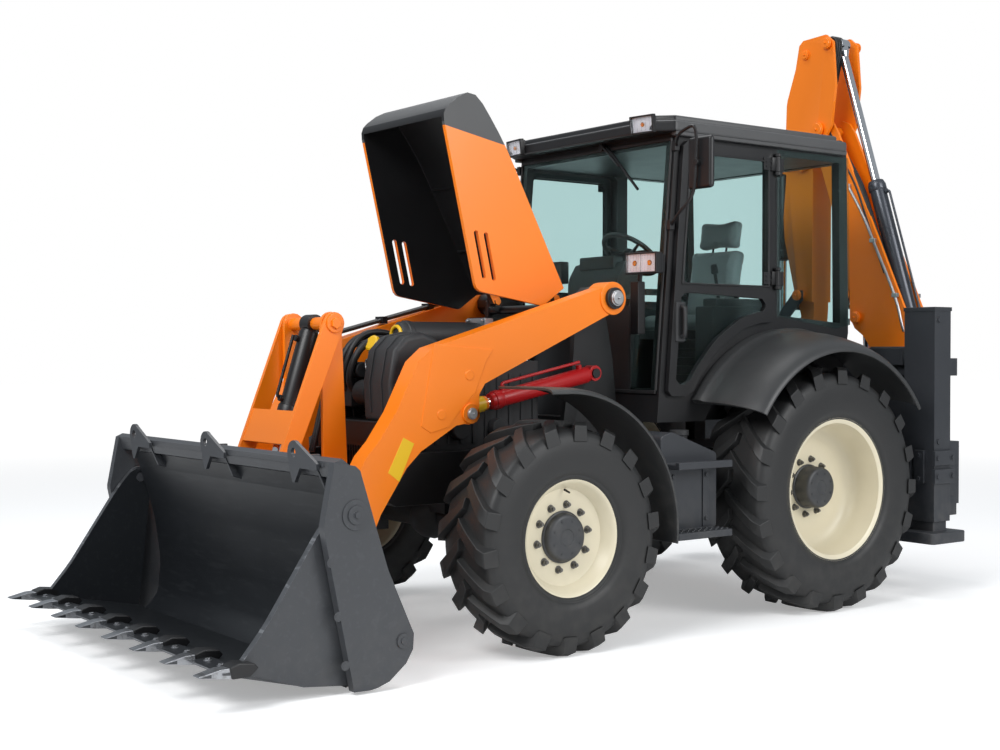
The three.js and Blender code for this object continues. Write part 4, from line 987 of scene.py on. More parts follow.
# %% Pipes along the loader arms
for i in range(2):
    x = -0.575 - 0.045 * i
    pipe(f"arm_pipe_{i + 1}", [
        at(x, -1.500, 1.852), at(x, -1.75, 1.788), at(x, -2.44, 1.610), at(x, -2.50, 1.600),
        at(x + 0.05, -2.58, 1.585), at(-0.50, -2.64, 1.50)], 0.012, HOSE, "arms")
bm = bmesh.new()
for y, z in ((-1.72, 1.792), (-2.05, 1.708), (-2.38, 1.622)):
    block(bm, at(-0.640, y - 0.018, z - 0.020), at(-0.555, y + 0.018, z + 0.022))
piece("arm_pipe_clamps", bm, BLACK, "arms", bevel=0.002)
for i, x in enumerate((0.075, 0.100, -0.080, -0.105)):
    pipe(f"tilt_hose_{i + 1}", [
        at(x * 0.7, -2.845, 1.655), at(x * 0.9, -2.815, 1.675), at(x, -2.785, 1.62),
        at(x, -2.790, 1.45), at(x, -2.850, 1.20), at(x, -2.905, 1.00)], 0.011, HOSE,
         "tilt_lever")
print("loader pipes laid")

# %% [markdown]
# ## Clam bucket
# A loader bucket is bent and welded from plate, then worn bright wherever it touches the
# ground.  Its cutting edge and side plates are bolted on, and its teeth are castings ground to
# a taper.  The jaw's CAD faces are kept, and those at its worn edges get scuffed metal.

# %% Worn jaw and teeth
jaw_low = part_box("bucket_jaw")[0]


def jaw_finish(face):
    """Scuffed metal on the teeth, cutting edge and side plates' rims; painted shade inside."""
    centre = face.calc_center_median()
    if centre.y < jaw_low.y + 0.112:
        return 1
    if abs(centre.x) > 1.145 and abs(face.normal.x) < 0.5:
        return 2
    if face.normal.z > 0.5 or face.normal.x * centre.x < -0.3:
        return 3
    return 0


plated("bucket_jaw", (BUCKET, EDGE, EDGE, BUCKET_SHADED_INNER), 0.004, jaw_finish)
TEETH = [(i - 3.5) * 0.345 * 1.238 / 1.250 for i in range(8)]
bm = bmesh.new()
for x in TEETH:
    tooth = plate(bm, [at(x - 0.040, -3.895, 0.150), at(x - 0.040, -3.895, 0.198),
                       at(x - 0.040, -3.975, 0.196), at(x - 0.040, -4.069, 0.176),
                       at(x - 0.040, -4.069, 0.171), at(x - 0.040, -3.98, 0.158)],
                  (0.080, 0, 0))
    for vert in tooth:
        share = (at(0, -3.895, 0).y - vert.co.y) / 0.174
        vert.co.x = x + (vert.co.x - x) * (1.0 - 0.22 * share)
piece("teeth_skin", bm, STEEL, "jaw", bevel=0.004)
bm = bmesh.new()
for x in TEETH:
    plate(bm, [at(x - 0.046, -3.925, 0.150), at(x - 0.046, -3.935, 0.200),
               at(x - 0.046, -3.890, 0.214), at(x - 0.046, -3.820, 0.206),
               at(x - 0.046, -3.800, 0.184), at(x - 0.046, -3.840, 0.150)], (0.092, 0, 0))
piece("tooth_adapters", bm, BLACK, "jaw", bevel=0.006)
bm = bmesh.new()
for x in TEETH:
    for step in (-0.105, 0.105):
        if abs(x + step) < 1.2:
            hexagon_bolt(bm, at(x + step, -3.905, 0.1815), (0, 0, 1), 0.013, 0.010)
piece("cutting_edge_bolts", bm, STEEL, "jaw", bevel=0.001)
for label, side in SIDES:
    bm = bmesh.new()
    centre = at(side * 1.188, *JAW_PIVOT)
    bar(bm, centre - Vector((side * 0.02, 0, 0)), centre + Vector((side * 0.011, 0, 0)), 0.060,
        sides=48)
    piece(f"jaw_boss_{label}", bm, BUCKET, "jaw", bevel=0.003)
    bm = bmesh.new()
    centre = at(side * 1.248, *JAW_PIVOT)
    bar(bm, centre - Vector((side * 0.014, 0, 0)), centre + Vector((side * 0.008, 0, 0)), 0.068,
        sides=48)
    bar(bm, centre, centre + Vector((side * 0.016, 0, 0)), 0.042, sides=40)
    hexagon_bolt(bm, centre + Vector((side * 0.016, 0, 0)), (side, 0, 0), 0.015, 0.010)
    low = at(side * 1.248, -3.085, 0.215)
    bar(bm, low, low + Vector((side * 0.010, 0, 0)), 0.034, sides=40)
    bar(bm, low, low + Vector((side * 0.015, 0, 0)), 0.016, sides=24)
    piece(f"cheek_boss_{label}", bm, BUCKET, "bucket", bevel=0.002)
print("teeth from", jaw_low.y)

# %% Lifting eyes and their ribs
def bucket_finish(face):
    """Painted shade: a darker copy of the bucket paint on the faces inside the bucket."""
    centre = face.calc_center_median()
    return 1 if abs(centre.x) < 1.200 and face.normal.y < -0.02 and centre.z < 1.0 else 0


plated("bucket_back", (BUCKET, BUCKET_SHADED_INNER), 0.005, bucket_finish,
       trim=((0, 0, 1.0535), (0, 0, 1)))
EYES = (-0.950, -0.030, 0.900)
bm, holes = bmesh.new(), bmesh.new()
for x in EYES:
    outline = [(0.215, -0.040)]
    outline += [(0.056 * math.cos(math.radians(a)), 0.056 * math.sin(math.radians(a)))
                for a in range(50, 211, 20)]
    outline += [(-0.030, -0.090), (-0.008, -0.135), (0.012, -0.135), (0.060, -0.068),
                (0.215, -0.068)]
    plate(bm, [at(x + across, -3.453, 1.062 + up) for across, up in outline], (0, 0.017, 0))
    bar(holes, at(x, -3.60, 1.062), at(x, -3.30, 1.062), 0.022, sides=32)
eyes = piece("lifting_eyes", bm, BUCKET, "bucket")
cut_out(eyes, holes)
bm = bmesh.new()
for x in EYES:
    plate(bm, [at(x + 0.160, -3.440, 1.026), at(x + 0.180, -3.392, 0.900),
               at(x + 0.180, -3.340, 0.880), at(x + 0.160, -3.380, 1.000)], (0.014, 0, 0))
piece("eye_ribs", bm, BUCKET, "bucket", bevel=0.002)
for label, side in SIDES:
    bm = bmesh.new()
    for y, z in ((-3.40, 0.955), (-3.455, 0.60), (-3.42, 0.36), (-3.385, 0.14)):
        hexagon_bolt(bm, at(side * 1.250, y, z), (side, 0, 0), 0.015, 0.0015)
    piece(f"cheek_bolts_{label}", bm, BUCKET, "bucket", bevel=0.0008)
print("bucket trim done")

# %% [markdown]
# ## Hood and engine
# The hood stands open on its rear hinge, so its inside shows.  Pressed steel is dull black
# within and glossy outside.  Under it stand the engine's top, an air cleaner with its trunk,
# a fan shroud and the hoses between them.  The engine proper stays one block, so only what
# bolts on to it is added.

# %% Hood skin
LEAN = math.radians(62)
HINGE = at(0, -1.449, 1.823)


def hood_at(x, ahead, down):
    return Vector((x, HINGE.y - ahead * math.cos(LEAN) - down * math.sin(LEAN),
                   HINGE.z + ahead * math.sin(LEAN) - down * math.cos(LEAN)))


NOSE = (hood_at(0, 0.928, 0.0), (hood_at(0, 0.780, -0.626) - HINGE).normalized())


def hood_finish(face):
    """Orange outside, black within, and a grey nose past the slanting line."""
    centre = face.calc_center_median()
    inside = abs(centre.x) < 0.397
    if inside:
        ahead = hood_at(0, 1, 0) - HINGE
        down = hood_at(0, 0, 1) - HINGE
        offset = centre - Vector((centre.x, HINGE.y, HINGE.z))
        depth = offset.dot(down)
        inside = depth > 0.012 and face.normal.dot(down) > -0.25 and offset.dot(ahead) < 1.26
    if inside:
        return 1
    return 2 if (centre - NOSE[0]).dot(NOSE[1]) > 0 else 0


hood_skin = plated("hood", (ORANGE, BLACK, ROOF), 0.006, hood_finish, [NOSE])
bm = bmesh.new()
for near, far in (((0.595, 0.405), (0.368, 0.466)), ((0.557, 0.350), (0.329, 0.411))):
    run = math.atan2(near[1] - far[1], near[0] - far[0])
    outline = []
    for (ahead, down), turn in ((near, run), (far, run + math.pi)):
        for k in range(9):
            a = turn - math.pi / 2 + math.pi * k / 8
            outline.append(hood_at(-0.6, ahead + 0.0145 * math.cos(a), down + 0.0145 * math.sin(a)))
    plate(bm, outline, (1.2, 0, 0))
cut_out(hood_skin, bm)
bm = bmesh.new()
for side in (-1, 1):
    block(bm, hood_at(side * 0.30 - 0.02, 0.25, 0.026) - Vector((0, 0.01, 0.01)),
          hood_at(side * 0.30 + 0.02, 0.25, 0.026) + Vector((0, 0.01, 0.01)))
for ahead in (0.35, 0.75, 1.1):
    bar(bm, hood_at(-0.396, ahead, 0.022), hood_at(0.396, ahead, 0.022), 0.010, sides=16)
piece("hood_stiffeners", bm, BLACK, "hood", bevel=0.002)
print("hood hinge", HINGE)

# %% Engine bay
plated("radiator", BLACK, 0.006, trim=(at(0, 0, 1.155), (0, 0, 1)))
bm = bmesh.new()
canister = [(0.001, 0.0), (0.070, 0.002), (0.084, 0.014), (0.086, 0.04), (0.086, 0.46),
            (0.092, 0.465), (0.092, 0.49), (0.086, 0.495), (0.084, 0.52), (0.070, 0.535),
            (0.001, 0.537)]
turned(bm, [(r * 0.88, along) for r, along in canister], at(0.10, -1.850, 1.610),
       (0, -1, 0), 56)
piece("air_cleaner", bm, PLASTIC, "machine", bevel=0.001)
bm = bmesh.new()
turned(bm, [(0.040, -0.004), (0.040, 0.008), (0.045, 0.012), (0.053, 0.012), (0.058, 0.006),
            (0.058, -0.004)], at(0.10, -2.387, 1.610), (0, -1, 0), 48)
piece("cleaner_end_ring", bm, YELLOW, "machine")
pipe("intake_trunk", [at(0.10, -1.88, 1.610), at(0.10, -1.80, 1.61), at(0.06, -1.70, 1.60),
                      at(0.02, -1.72, 1.50), at(0.02, -1.76, 1.42)], 0.045, HOSE, "machine")
pipe("coolant_top_hose", [at(-0.12, -2.40, 1.44), at(-0.12, -2.30, 1.55),
                          at(-0.10, -2.16, 1.60), at(-0.05, -2.04, 1.52),
                          at(-0.05, -2.00, 1.42)], 0.030, HOSE, "machine")
bm = bmesh.new()
turned(bm, [(0.260, 0.0), (0.275, 0.004), (0.275, 0.10), (0.262, 0.104), (0.258, 0.10),
            (0.258, 0.004)], at(0, -2.345, 1.225), (0, -1, 0), 72)
for i in range(7):
    a = math.tau * i / 7
    tip = Vector((0.235 * math.cos(a), 0, 0.235 * math.sin(a)))
    wide = Vector((-math.sin(a), 0.5, math.cos(a))).normalized() * 0.045
    hub = at(0, -2.385, 1.225)
    plate(bm, [hub - wide * 0.7, hub + wide * 0.7, hub + tip + wide, hub + tip - wide],
          (0, -0.004, 0))
piece("fan_and_shroud", bm, PLASTIC, "machine", bevel=0.0)
bm = bmesh.new()
block(bm, at(-0.17, -2.25, 1.465), at(0.11, -1.64, 1.535))
for i in range(6):
    y = -2.20 + 0.1 * i
    bar(bm, at(-0.03, y, 1.53), at(-0.03, y, 1.556), 0.016, sides=6)
for y in (-2.12, -1.86):
    bar(bm, at(0.29, y, 1.10), at(0.345, y, 1.10), 0.055, sides=40)
bar(bm, at(0.16, -2.33, 1.12), at(0.16, -2.36, 1.12), 0.10, sides=48)
bar(bm, at(-0.14, -2.33, 1.30), at(-0.14, -2.36, 1.30), 0.06, sides=48)
piece("engine_top", bm, CAST, "machine", bevel=0.006)
bm = bmesh.new()
plate(bm, [at(0.105, y, z) for y, z in (
    (-2.600, 1.150), (-2.612, 1.360), (-2.580, 1.530), (-2.510, 1.600), (-2.400, 1.622),
    (-2.300, 1.590), (-2.262, 1.510), (-2.262, 1.250), (-2.300, 1.150))], (0.280, 0, 0))
piece("belt_guard", bm, PLASTIC, "machine", bevel=0.030)
bm = bmesh.new()
for x in (0.185, 0.300):
    plate(bm, [at(x, y, z) for y, z in (
        (-2.610, 1.20), (-2.620, 1.360), (-2.588, 1.535), (-2.515, 1.608), (-2.400, 1.630),
        (-2.330, 1.612), (-2.330, 1.590), (-2.50, 1.57), (-2.59, 1.36), (-2.59, 1.20))],
          (0.012, 0, 0))
piece("guard_ribs", bm, PLASTIC, "machine", bevel=0.003)
bm = bmesh.new()
turned(bm, [(0.0005, 0.030), (0.036, 0.030), (0.046, 0.022), (0.048, 0.0), (0.0005, 0.0)],
       at(-0.03, -2.450, 1.560), (0.15, -0.8, 0.4), 40)
piece("filler_caps", bm, YELLOW, "machine", bevel=0.001)
bm = bmesh.new()
block(bm, at(0.010, -1.860, 1.560), at(0.190, -1.800, 1.712))
block(bm, at(0.040, -1.800, 1.580), at(0.160, -1.730, 1.692))
for x in (0.03, 0.17):
    bar(bm, at(x, -1.862, 1.695), at(x, -1.876, 1.695), 0.012, sides=6)
piece("cleaner_bracket", bm, ZINC, "machine", bevel=0.010)
bm = bmesh.new()
bar(bm, at(-0.02, -2.53, 1.300), at(0.09, -2.53, 1.300), 0.070, 0.064, sides=40)
bar(bm, at(-0.05, -2.53, 1.300), at(-0.02, -2.53, 1.300), 0.050, sides=40)
block(bm, at(-0.26, -2.56, 1.220), at(-0.09, -2.46, 1.330))
bar(bm, at(-0.30, -2.50, 1.42), at(-0.06, -2.50, 1.42), 0.045, sides=32)
block(bm, at(-0.34, -2.54, 1.155), at(-0.28, -2.40, 1.50))
piece("belt_drives", bm, CAST, "machine", bevel=0.008)
for i, (x, top) in enumerate(((-0.28, 1.58), (-0.22, 1.62), (-0.16, 1.64), (-0.10, 1.60))):
    pipe(f"engine_hose_{i + 1}", [
        at(x, -2.42, 1.20), at(x, -2.56, 1.25 + 0.02 * i), at(x + 0.02, -2.58, 1.42),
        at(x + 0.03, -2.50, top - 0.03), at(x + 0.05, -2.36, top), at(x + 0.06, -2.20, top - 0.05),
        at(x + 0.06, -2.08, 1.48)], 0.017 + 0.004 * (i % 2), HOSE, "machine")
for i in range(3):
    pipe(f"injector_line_{i + 1}", [
        at(-0.10 + 0.06 * i, -2.34, 1.44), at(-0.08 + 0.06 * i, -2.46, 1.50),
        at(-0.02 + 0.04 * i, -2.52, 1.44), at(0.02 + 0.02 * i, -2.50, 1.36)], 0.0055, ZINC,
         "machine")
bm = bmesh.new()
for side in (-1, 1):
    for i in range(9):
        y = -2.27 + 0.083 * i
        block(bm, at(side * 0.290, y, 1.02), at(side * 0.300, y + 0.022, 1.40))
piece("engine_ribs", bm, CAST, "machine", bevel=0.003)
bm = bmesh.new()
block(bm, at(-0.36, -2.630, 1.050), at(0.36, -2.600, 1.150))
for i in range(26):
    x = -0.325 + 0.026 * i
    block(bm, at(x, -2.616, 0.70), at(x + 0.006, -2.611, 1.02))
piece("radiator_fins", bm, BLACK, "machine")
print("engine trim done")

# %% [markdown]
# ## Cab outside
# The cab is a welded frame with bonded glass, so black rubber runs round each pane.  Lamps,
# mirrors, hinges and handles are bought in and bolted on.  Lamps are a housing, a bright
# reflector and a clear lens, three pieces deep, because a painted square would look dead.

# %% Window rubber
CAB_FRONT = (Vector((0, at(0, -1.045, 0).y, 1.120)), Vector((0, at(0, -0.905, 0).y, 2.765)))


def cab_front(z, ahead=0.0):
    """How far back the sloping cab front is at a height."""
    foot, head = CAB_FRONT
    return foot.y + (z - foot.z) / (head.z - foot.z) * (head.y - foot.y) - ahead


def rubber_loop(name, points, radius, body):
    pipe(name, list(points) + [points[0], points[1]], radius, HOSE, body, round_corners=False)


for label, side in SIDES:
    face = side * 0.7545
    rubber_loop(f"door_seal_high_{label}", [
        Vector((face, cab_front(2.66) + 0.096, 2.655)),
        Vector((face, cab_front(1.91) + 0.096, 1.91)),
        at(face, -0.178, 1.91), at(face, -0.178, 2.655)],
        0.0075, f"door_{label}")
    pipe(f"windscreen_seal_{label}", [
        Vector((side * 0.697, cab_front(1.30, 0.006), 1.300)),
        Vector((side * 0.697, cab_front(2.735, 0.006), 2.735))], 0.008, HOSE, "machine",
         round_corners=False)
bm = bmesh.new()
for z in (1.292, 2.732):
    block(bm, Vector((-0.70, cab_front(z, 0.016), z - 0.010)),
          Vector((0.70, cab_front(z, 0.001), z + 0.010)))
for x in (-0.476, 0.476):
    block(bm, Vector((x - 0.010, cab_front(1.55, 0.030), 1.285)),
          Vector((x + 0.010, cab_front(1.55, -0.026), 1.79)))
piece("windscreen_rubber", bm, HOSE, "machine", bevel=0.003)
print("cab front from", cab_front(1.12), "to", cab_front(2.765))

# %% Door hinges, handles and latches
for label, side in SIDES:
    bm = bmesh.new()
    for z in (2.640, 1.960):
        pivot = at(side * 0.770, -0.118, z)
        bar(bm, pivot - Vector((0, 0, 0.044)), pivot + Vector((0, 0, 0.044)), 0.0165, sides=28)
        block(bm, pivot + Vector((side * -0.016 - 0.006, -0.105, -0.036)),
              pivot + Vector((side * -0.016 + 0.006, -0.010, 0.036)))
        for y in (-0.085, -0.050):
            for up in (0.014, -0.014):
                hexagon_bolt(bm, pivot + Vector((side * -0.011, y, up)), (side, 0, 0), 0.008,
                             0.006)
    piece(f"door_hinge_leaves_{label}", bm, BLACK, f"door_{label}", bevel=0.003)
    bm = bmesh.new()
    for z in (2.640, 1.960):
        pivot = at(side * 0.770, -0.118, z)
        bar(bm, pivot - Vector((0, 0, 0.066)), pivot - Vector((0, 0, 0.046)), 0.020, sides=28)
        bar(bm, pivot + Vector((0, 0, 0.046)), pivot + Vector((0, 0, 0.064)), 0.020, sides=28)
        block(bm, pivot + Vector((side * -0.030 - 0.012, 0.012, -0.042)),
              pivot + Vector((side * -0.030 + 0.012, 0.075, 0.042)))
    piece(f"door_hinge_posts_{label}", bm, BLACK, "machine", bevel=0.004)
    bm = bmesh.new()
    y = at(0, -0.902, 0).y
    block(bm, Vector((side * 0.7525, y, 1.690)) + Vector((-0.012, -0.036, -0.115)),
          Vector((side * 0.7525, y, 1.690)) + Vector((0.012, 0.036, 0.115)))
    piece(f"door_handle_plate_{label}", bm, PLASTIC, f"door_{label}", bevel=0.010)
    grip = ((0.765, 1.780), (0.792, 1.775), (0.796, 1.74), (0.796, 1.65), (0.792, 1.610),
            (0.765, 1.605))
    pipe(f"door_handle_{label}", [Vector((side * x, y, z)) for x, z in grip], 0.011, PLASTIC,
         f"door_{label}")
print("door handles at", y)


# %% Lamps
def lamp(name, centre, facing, half_width, half_height, depth, body, lenses=1, round_by=0.008):
    """A boxed lamp: housing, reflector, one or two lenses and an amber body behind each."""
    centre, facing = Vector(centre), Vector(facing).normalized()
    across = Vector((0, 0, 1)).cross(facing).normalized()
    up = facing.cross(across)
    turn = Matrix((across, up, facing)).transposed().to_4x4()

    def slab_at(bm, x0, x1, y0, y1, z0, z1):
        size = Matrix.Diagonal((x1 - x0, y1 - y0, z1 - z0, 1))
        move = Matrix.Translation(((x0 + x1) / 2, (y0 + y1) / 2, (z0 + z1) / 2))
        return bmesh.ops.create_cube(bm, size=1,
                                     matrix=Matrix.Translation(centre) @ turn @ move @ size)

    bm = bmesh.new()
    wall = 0.010
    w, h = half_width, half_height
    slab_at(bm, -w * 0.86, w * 0.86, -h * 0.86, h * 0.86, -depth, -depth * 0.45)
    slab_at(bm, -w, w, -h, h, -depth * 0.55, -0.016)
    for x0, x1, y0, y1 in ((-w, w, h - wall, h), (-w, w, -h, -h + wall),
                           (-w, -w + wall, -h, h), (w - wall, w, -h, h)):
        slab_at(bm, x0, x1, y0, y1, -0.018, 0.006)
    piece(f"{name}_housing", bm, BLACK, body, bevel=round_by)
    bm = bmesh.new()
    slab_at(bm, -w + wall, w - wall, -h + wall, h - wall, -0.0158, -0.0130)
    piece(f"{name}_reflector", bm, REFLECTOR, body)
    # Amber bulbs: in the road lamps they are the indicators; in the clear work lamps they are a
    # painted orange glint.
    bm = bmesh.new()
    spots = [0.0] if lenses == 1 else [-w * 0.45, w * 0.5]
    for i, x in enumerate(spots):
        here = Matrix.Translation(centre) @ turn @ Matrix.Translation((x, 0, -0.008))
        bmesh.ops.create_uvsphere(bm, u_segments=20, v_segments=10, radius=h * 0.26,
                                  matrix=here @ Matrix.Diagonal((1, 1, 0.35, 1)))
    piece(f"{name}_bulb_and_painted_glint", bm, AMBER, body)
    for i in range(lenses):
        x0 = -w + wall + 0.0006 + i * (2 * w - 2 * wall) / lenses
        x1 = x0 + (2 * w - 2 * wall) / lenses - 0.0012
        bm = bmesh.new()
        slab_at(bm, x0, x1, -h + wall + 0.0006, h - wall - 0.0006, -0.001, 0.0055)
        for k in range(5):
            x = x0 + (x1 - x0) * (k + 0.5) / 5
            slab_at(bm, x - 0.0012, x + 0.0012, -h * 0.75, h * 0.75, 0.005, 0.0066)
        piece(f"{name}_lens_{i + 1}", bm, LENS, body, bevel=0.0012)


for label, side in SIDES:
    lamp(f"road_lamp_{label}", (side * 0.700, at(0, -1.150, 0).y, 2.018),
         (side * 0.16, -1, 0), 0.112, 0.060, 0.095, "machine", lenses=2, round_by=0.014)
    pipe(f"road_lamp_arm_{label}", [
        at(side * 0.60, -1.07, 1.90), at(side * 0.60, -1.07, 1.97),
        at(side * 0.63, -1.07, 2.01), at(side * 0.70, -1.08, 2.01)],
         0.014, BLACK, "machine")
    bm = bmesh.new()
    block(bm, at(side * 0.585 - 0.035, -1.10, 1.62), at(side * 0.585 + 0.035, -1.045, 1.92))
    piece(f"road_lamp_post_{label}", bm, BLACK, "machine", bevel=0.006)
    lamp(f"work_lamp_front_{label}", (side * 0.600, 0.079, 2.812), (side * 0.12, -1, -0.10),
         0.088, 0.052, 0.04, "machine", round_by=0.006)
    lamp(f"work_lamp_rear_{label}", (side * 0.56, 1.762, 2.815), (side * 0.08, 1, -0.08),
         0.070, 0.048, 0.05, "machine")
print("lamps on both sides")

# %% Mirrors and wiper
for label, side in SIDES:
    y = at(0, -0.925, 0).y
    bm = bmesh.new()
    block(bm, Vector((side * 0.95 - 0.092, y - 0.024, 2.425)),
          Vector((side * 0.95 + 0.092, y + 0.016, 2.715)))
    piece(f"mirror_shell_{label}", bm, BLACK, "machine", bevel=0.019)
    bm = bmesh.new()
    block(bm, Vector((side * 0.95 - 0.076, y + 0.0155, 2.455)),
          Vector((side * 0.95 + 0.076, y + 0.0185, 2.685)))
    piece(f"mirror_face_{label}", bm, MIRROR, "machine", bevel=0.001)
    bends = [(0.735, cab_front(2.68), 2.690), (0.80, y - 0.055, 2.735),
             (0.93, y - 0.065, 2.772), (0.955, y - 0.060, 2.765), (0.955, y - 0.045, 2.72),
             (0.945, y - 0.040, 2.57), (0.935, y - 0.040, 2.42), (0.90, y - 0.045, 2.36),
             (0.80, y - 0.050, 2.285), (0.735, cab_front(2.24), 2.240)]
    pipe(f"mirror_bracket_{label}", [Vector((side * x, *rest)) for x, *rest in bends], 0.0095,
         BLACK, "machine")
    bm = bmesh.new()
    bar(bm, Vector((side * 0.947, y - 0.052, 2.57)), Vector((side * 0.947, y - 0.020, 2.57)),
        0.020, sides=24)
    for z in (2.69, 2.24):
        block(bm, Vector((side * 0.727 - 0.014, cab_front(z, 0.018), z - 0.028)),
              Vector((side * 0.727 + 0.014, cab_front(z, -0.018), z + 0.028)))
    piece(f"mirror_clamps_{label}", bm, BLACK, "machine", bevel=0.003)
bm = bmesh.new()
for start, end, radius, end_radius, sides in (
        ((0.10, cab_front(2.74, 0.03), 2.745), (0.10, cab_front(2.74, 0.0), 2.745),
         0.020, 0.020, 28),
        ((0.060, cab_front(2.80, 0.045), 2.815), (0.060, cab_front(2.80, 0.0), 2.815),
         0.018, 0.018, 28),
        ((0.060, cab_front(2.80, 0.042), 2.815), (0.285, cab_front(2.62, 0.036), 2.615),
         0.0085, 0.0065, 10),
        ((0.150, cab_front(2.74, 0.020), 2.745), (0.450, cab_front(2.47, 0.020), 2.465),
         0.0095, 0.0085, 8)):
    bar(bm, start, end, radius, end_radius, sides)
piece("wiper", bm, BLACK, "machine", bevel=0.0012)
print("mirrors and wiper on")

# %% [markdown]
# ## Roof
# The roof is one moulded skin.  It is a rounded copy of the CAD outline, so only a drip rail
# and a few ribs are added here.

# %% Roof rail
roof_low, roof_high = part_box("cab_roof")


def roof_finish(face):
    """Black under the roof and across its front, satin grey elsewhere."""
    return 1 if face.normal.z < -0.5 or face.normal.y < -0.6 else 0


plated("cab_roof", (ROOF, BLACK), 0.020, roof_finish)
bm = bmesh.new()
for label, side in SIDES:
    block(bm, Vector((side * 0.735 - 0.022, 0.20, roof_low.z - 0.018)),
          Vector((side * 0.735 + 0.022, 1.66, roof_low.z + 0.012)))
for x in (-0.42, -0.14, 0.14, 0.42):
    block(bm, (x - 0.05, 0.30, roof_high.z - 0.004), (x + 0.05, 1.55, roof_high.z + 0.008))
piece("roof_ribs", bm, ROOF, "machine", bevel=0.008)
print("roof", roof_low, roof_high)

# %% [markdown]
# ## Inside the cab
# Through tinted glass only the outlines count: a sprung seat, a wheel on a sloping column, a
# console with levers and a screen.  They're made as real pieces so that the cab is right from
# any side.

# %% Column, wheel and console trim
bm = bmesh.new()
hub = at(0, -0.602, 2.125)
tilt = Matrix.Rotation(math.radians(-38), 4, "X")
ring_axis = (tilt @ Vector((0, 0, 1))).normalized()
turned(bm, [(0.170, 0.0), (0.175, 0.011), (0.187, 0.015), (0.198, 0.010), (0.202, 0.0),
            (0.198, -0.010), (0.187, -0.015), (0.175, -0.011)], hub, ring_axis, 64)
bar(bm, hub - ring_axis * 0.030, hub + ring_axis * 0.012, 0.055, 0.045, sides=40)
for i in range(3):
    a = math.tau * i / 3 + math.pi / 2
    rim = hub + tilt @ Vector((0.180 * math.cos(a), 0.180 * math.sin(a), 0))
    bar(bm, hub - ring_axis * 0.008, rim, 0.012, 0.009, sides=16)
bar(bm, at(0, -0.780, 1.900), hub - ring_axis * 0.02, 0.036, 0.030, sides=32)
piece("steering_wheel", bm, PLASTIC, "machine", bevel=0.001)
bm = bmesh.new()
block(bm, at(-0.16, -0.885, 2.02), at(0.16, -0.80, 2.10))
block(bm, at(-0.56, -0.87, 1.95), at(-0.36, -0.80, 2.09))
bar(bm, at(-0.46, -0.835, 1.80), at(-0.46, -0.835, 1.96), 0.018, sides=20)
block(bm, at(-0.62, -0.90, 1.60), at(-0.30, -0.80, 1.80))
for side in (-1, 1):
    block(bm, at(side * 0.36 - 0.075, -0.33, 1.19), at(side * 0.36 + 0.075, 0.20, 1.80))
    block(bm, at(side * 0.36 - 0.060, -0.28, 1.795), at(side * 0.36 + 0.060, 0.16, 1.85))
    bar(bm, at(side * 0.36, -0.20, 1.84), at(side * 0.36, -0.235, 2.02), 0.011, sides=20)
    bar(bm, at(side * 0.36, -0.232, 2.00), at(side * 0.36, -0.245, 2.06), 0.024, 0.020, sides=24)
piece("console_trim", bm, PLASTIC, "machine", bevel=0.010)
print("steering wheel at", hub)

# %% [markdown]
# The seat is foam under woven cloth.  Foam swells between its seams, so the cushion and the
# back start a little small and a short cloth simulation with inside pressure fills them out.


# %% Padded seat
def stuffed(name, rough, pressure, cap, voxel):
    """A swelled copy of a rough block: remeshed, then inflated, and held near its start."""
    mesh = bpy.data.meshes.new(name)
    bmesh.ops.recalc_face_normals(rough, faces=rough.faces)
    rough.to_mesh(mesh)
    rough.free()
    made = add_object(name, mesh)
    remesh = made.modifiers.new("remesh", "REMESH")
    remesh.mode = "VOXEL"
    remesh.voxel_size = voxel
    bake(made)
    start = [v.co.copy() for v in made.data.vertices]
    cloth = made.modifiers.new("foam", "CLOTH")
    cloth.settings.quality = 4
    cloth.settings.use_pressure = True
    cloth.settings.uniform_pressure_force = pressure
    cloth.settings.effector_weights.gravity = 0
    cloth.settings.mass = 0.3
    cloth.point_cache.frame_start, cloth.point_cache.frame_end = 1, 20
    for step in range(1, 21):
        scene.frame_set(step)
    bake(made)
    scene.frame_set(1)
    for vert, first in zip(made.data.vertices, start):
        step = vert.co - first
        if step.length > cap:
            vert.co = first + step.normalized() * cap
    rounded = made.modifiers.new("smooth", "SUBSURF")
    rounded.levels = rounded.render_levels = 1
    made.data.materials.append(CLOTH)
    smooth_by_angle(made.data, 180)
    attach(made, "machine")
    return made


def soft_block(bm, low, high, round_by):
    start = len(bm.verts)
    block(bm, low, high)
    edges = {e for v in list(bm.verts)[start:] for e in v.link_edges}
    bmesh.ops.bevel(bm, geom=list(edges), offset=round_by, offset_type="OFFSET", segments=3,
                    profile=0.5, affect="EDGES", material=-1)


bm = bmesh.new()
soft_block(bm, at(-0.222, -0.348, 1.664), at(0.222, 0.085, 1.735), 0.024)
cushion = stuffed("seat_cushion", bm, 4, 0.018, 0.008)
bm = bmesh.new()
soft_block(bm, at(-0.215, 0.040, 1.735), at(0.215, 0.135, 2.190), 0.030)
lean = Matrix.Rotation(math.radians(-9), 4, "X")
bmesh.ops.rotate(bm, cent=at(0, 0.08, 1.72), matrix=lean, verts=bm.verts)
backrest = stuffed("seat_backrest", bm, 4, 0.018, 0.008)
bm = bmesh.new()
soft_block(bm, at(-0.165, 0.052, 2.196), at(0.165, 0.132, 2.375), 0.026)
bmesh.ops.rotate(bm, cent=at(0, 0.08, 1.72), matrix=lean, verts=bm.verts)
headrest = stuffed("seat_headrest", bm, 4, 0.014, 0.008)
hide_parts("seat")
print("seat foam", [len(o.data.vertices) for o in (cushion, backrest, headrest)])

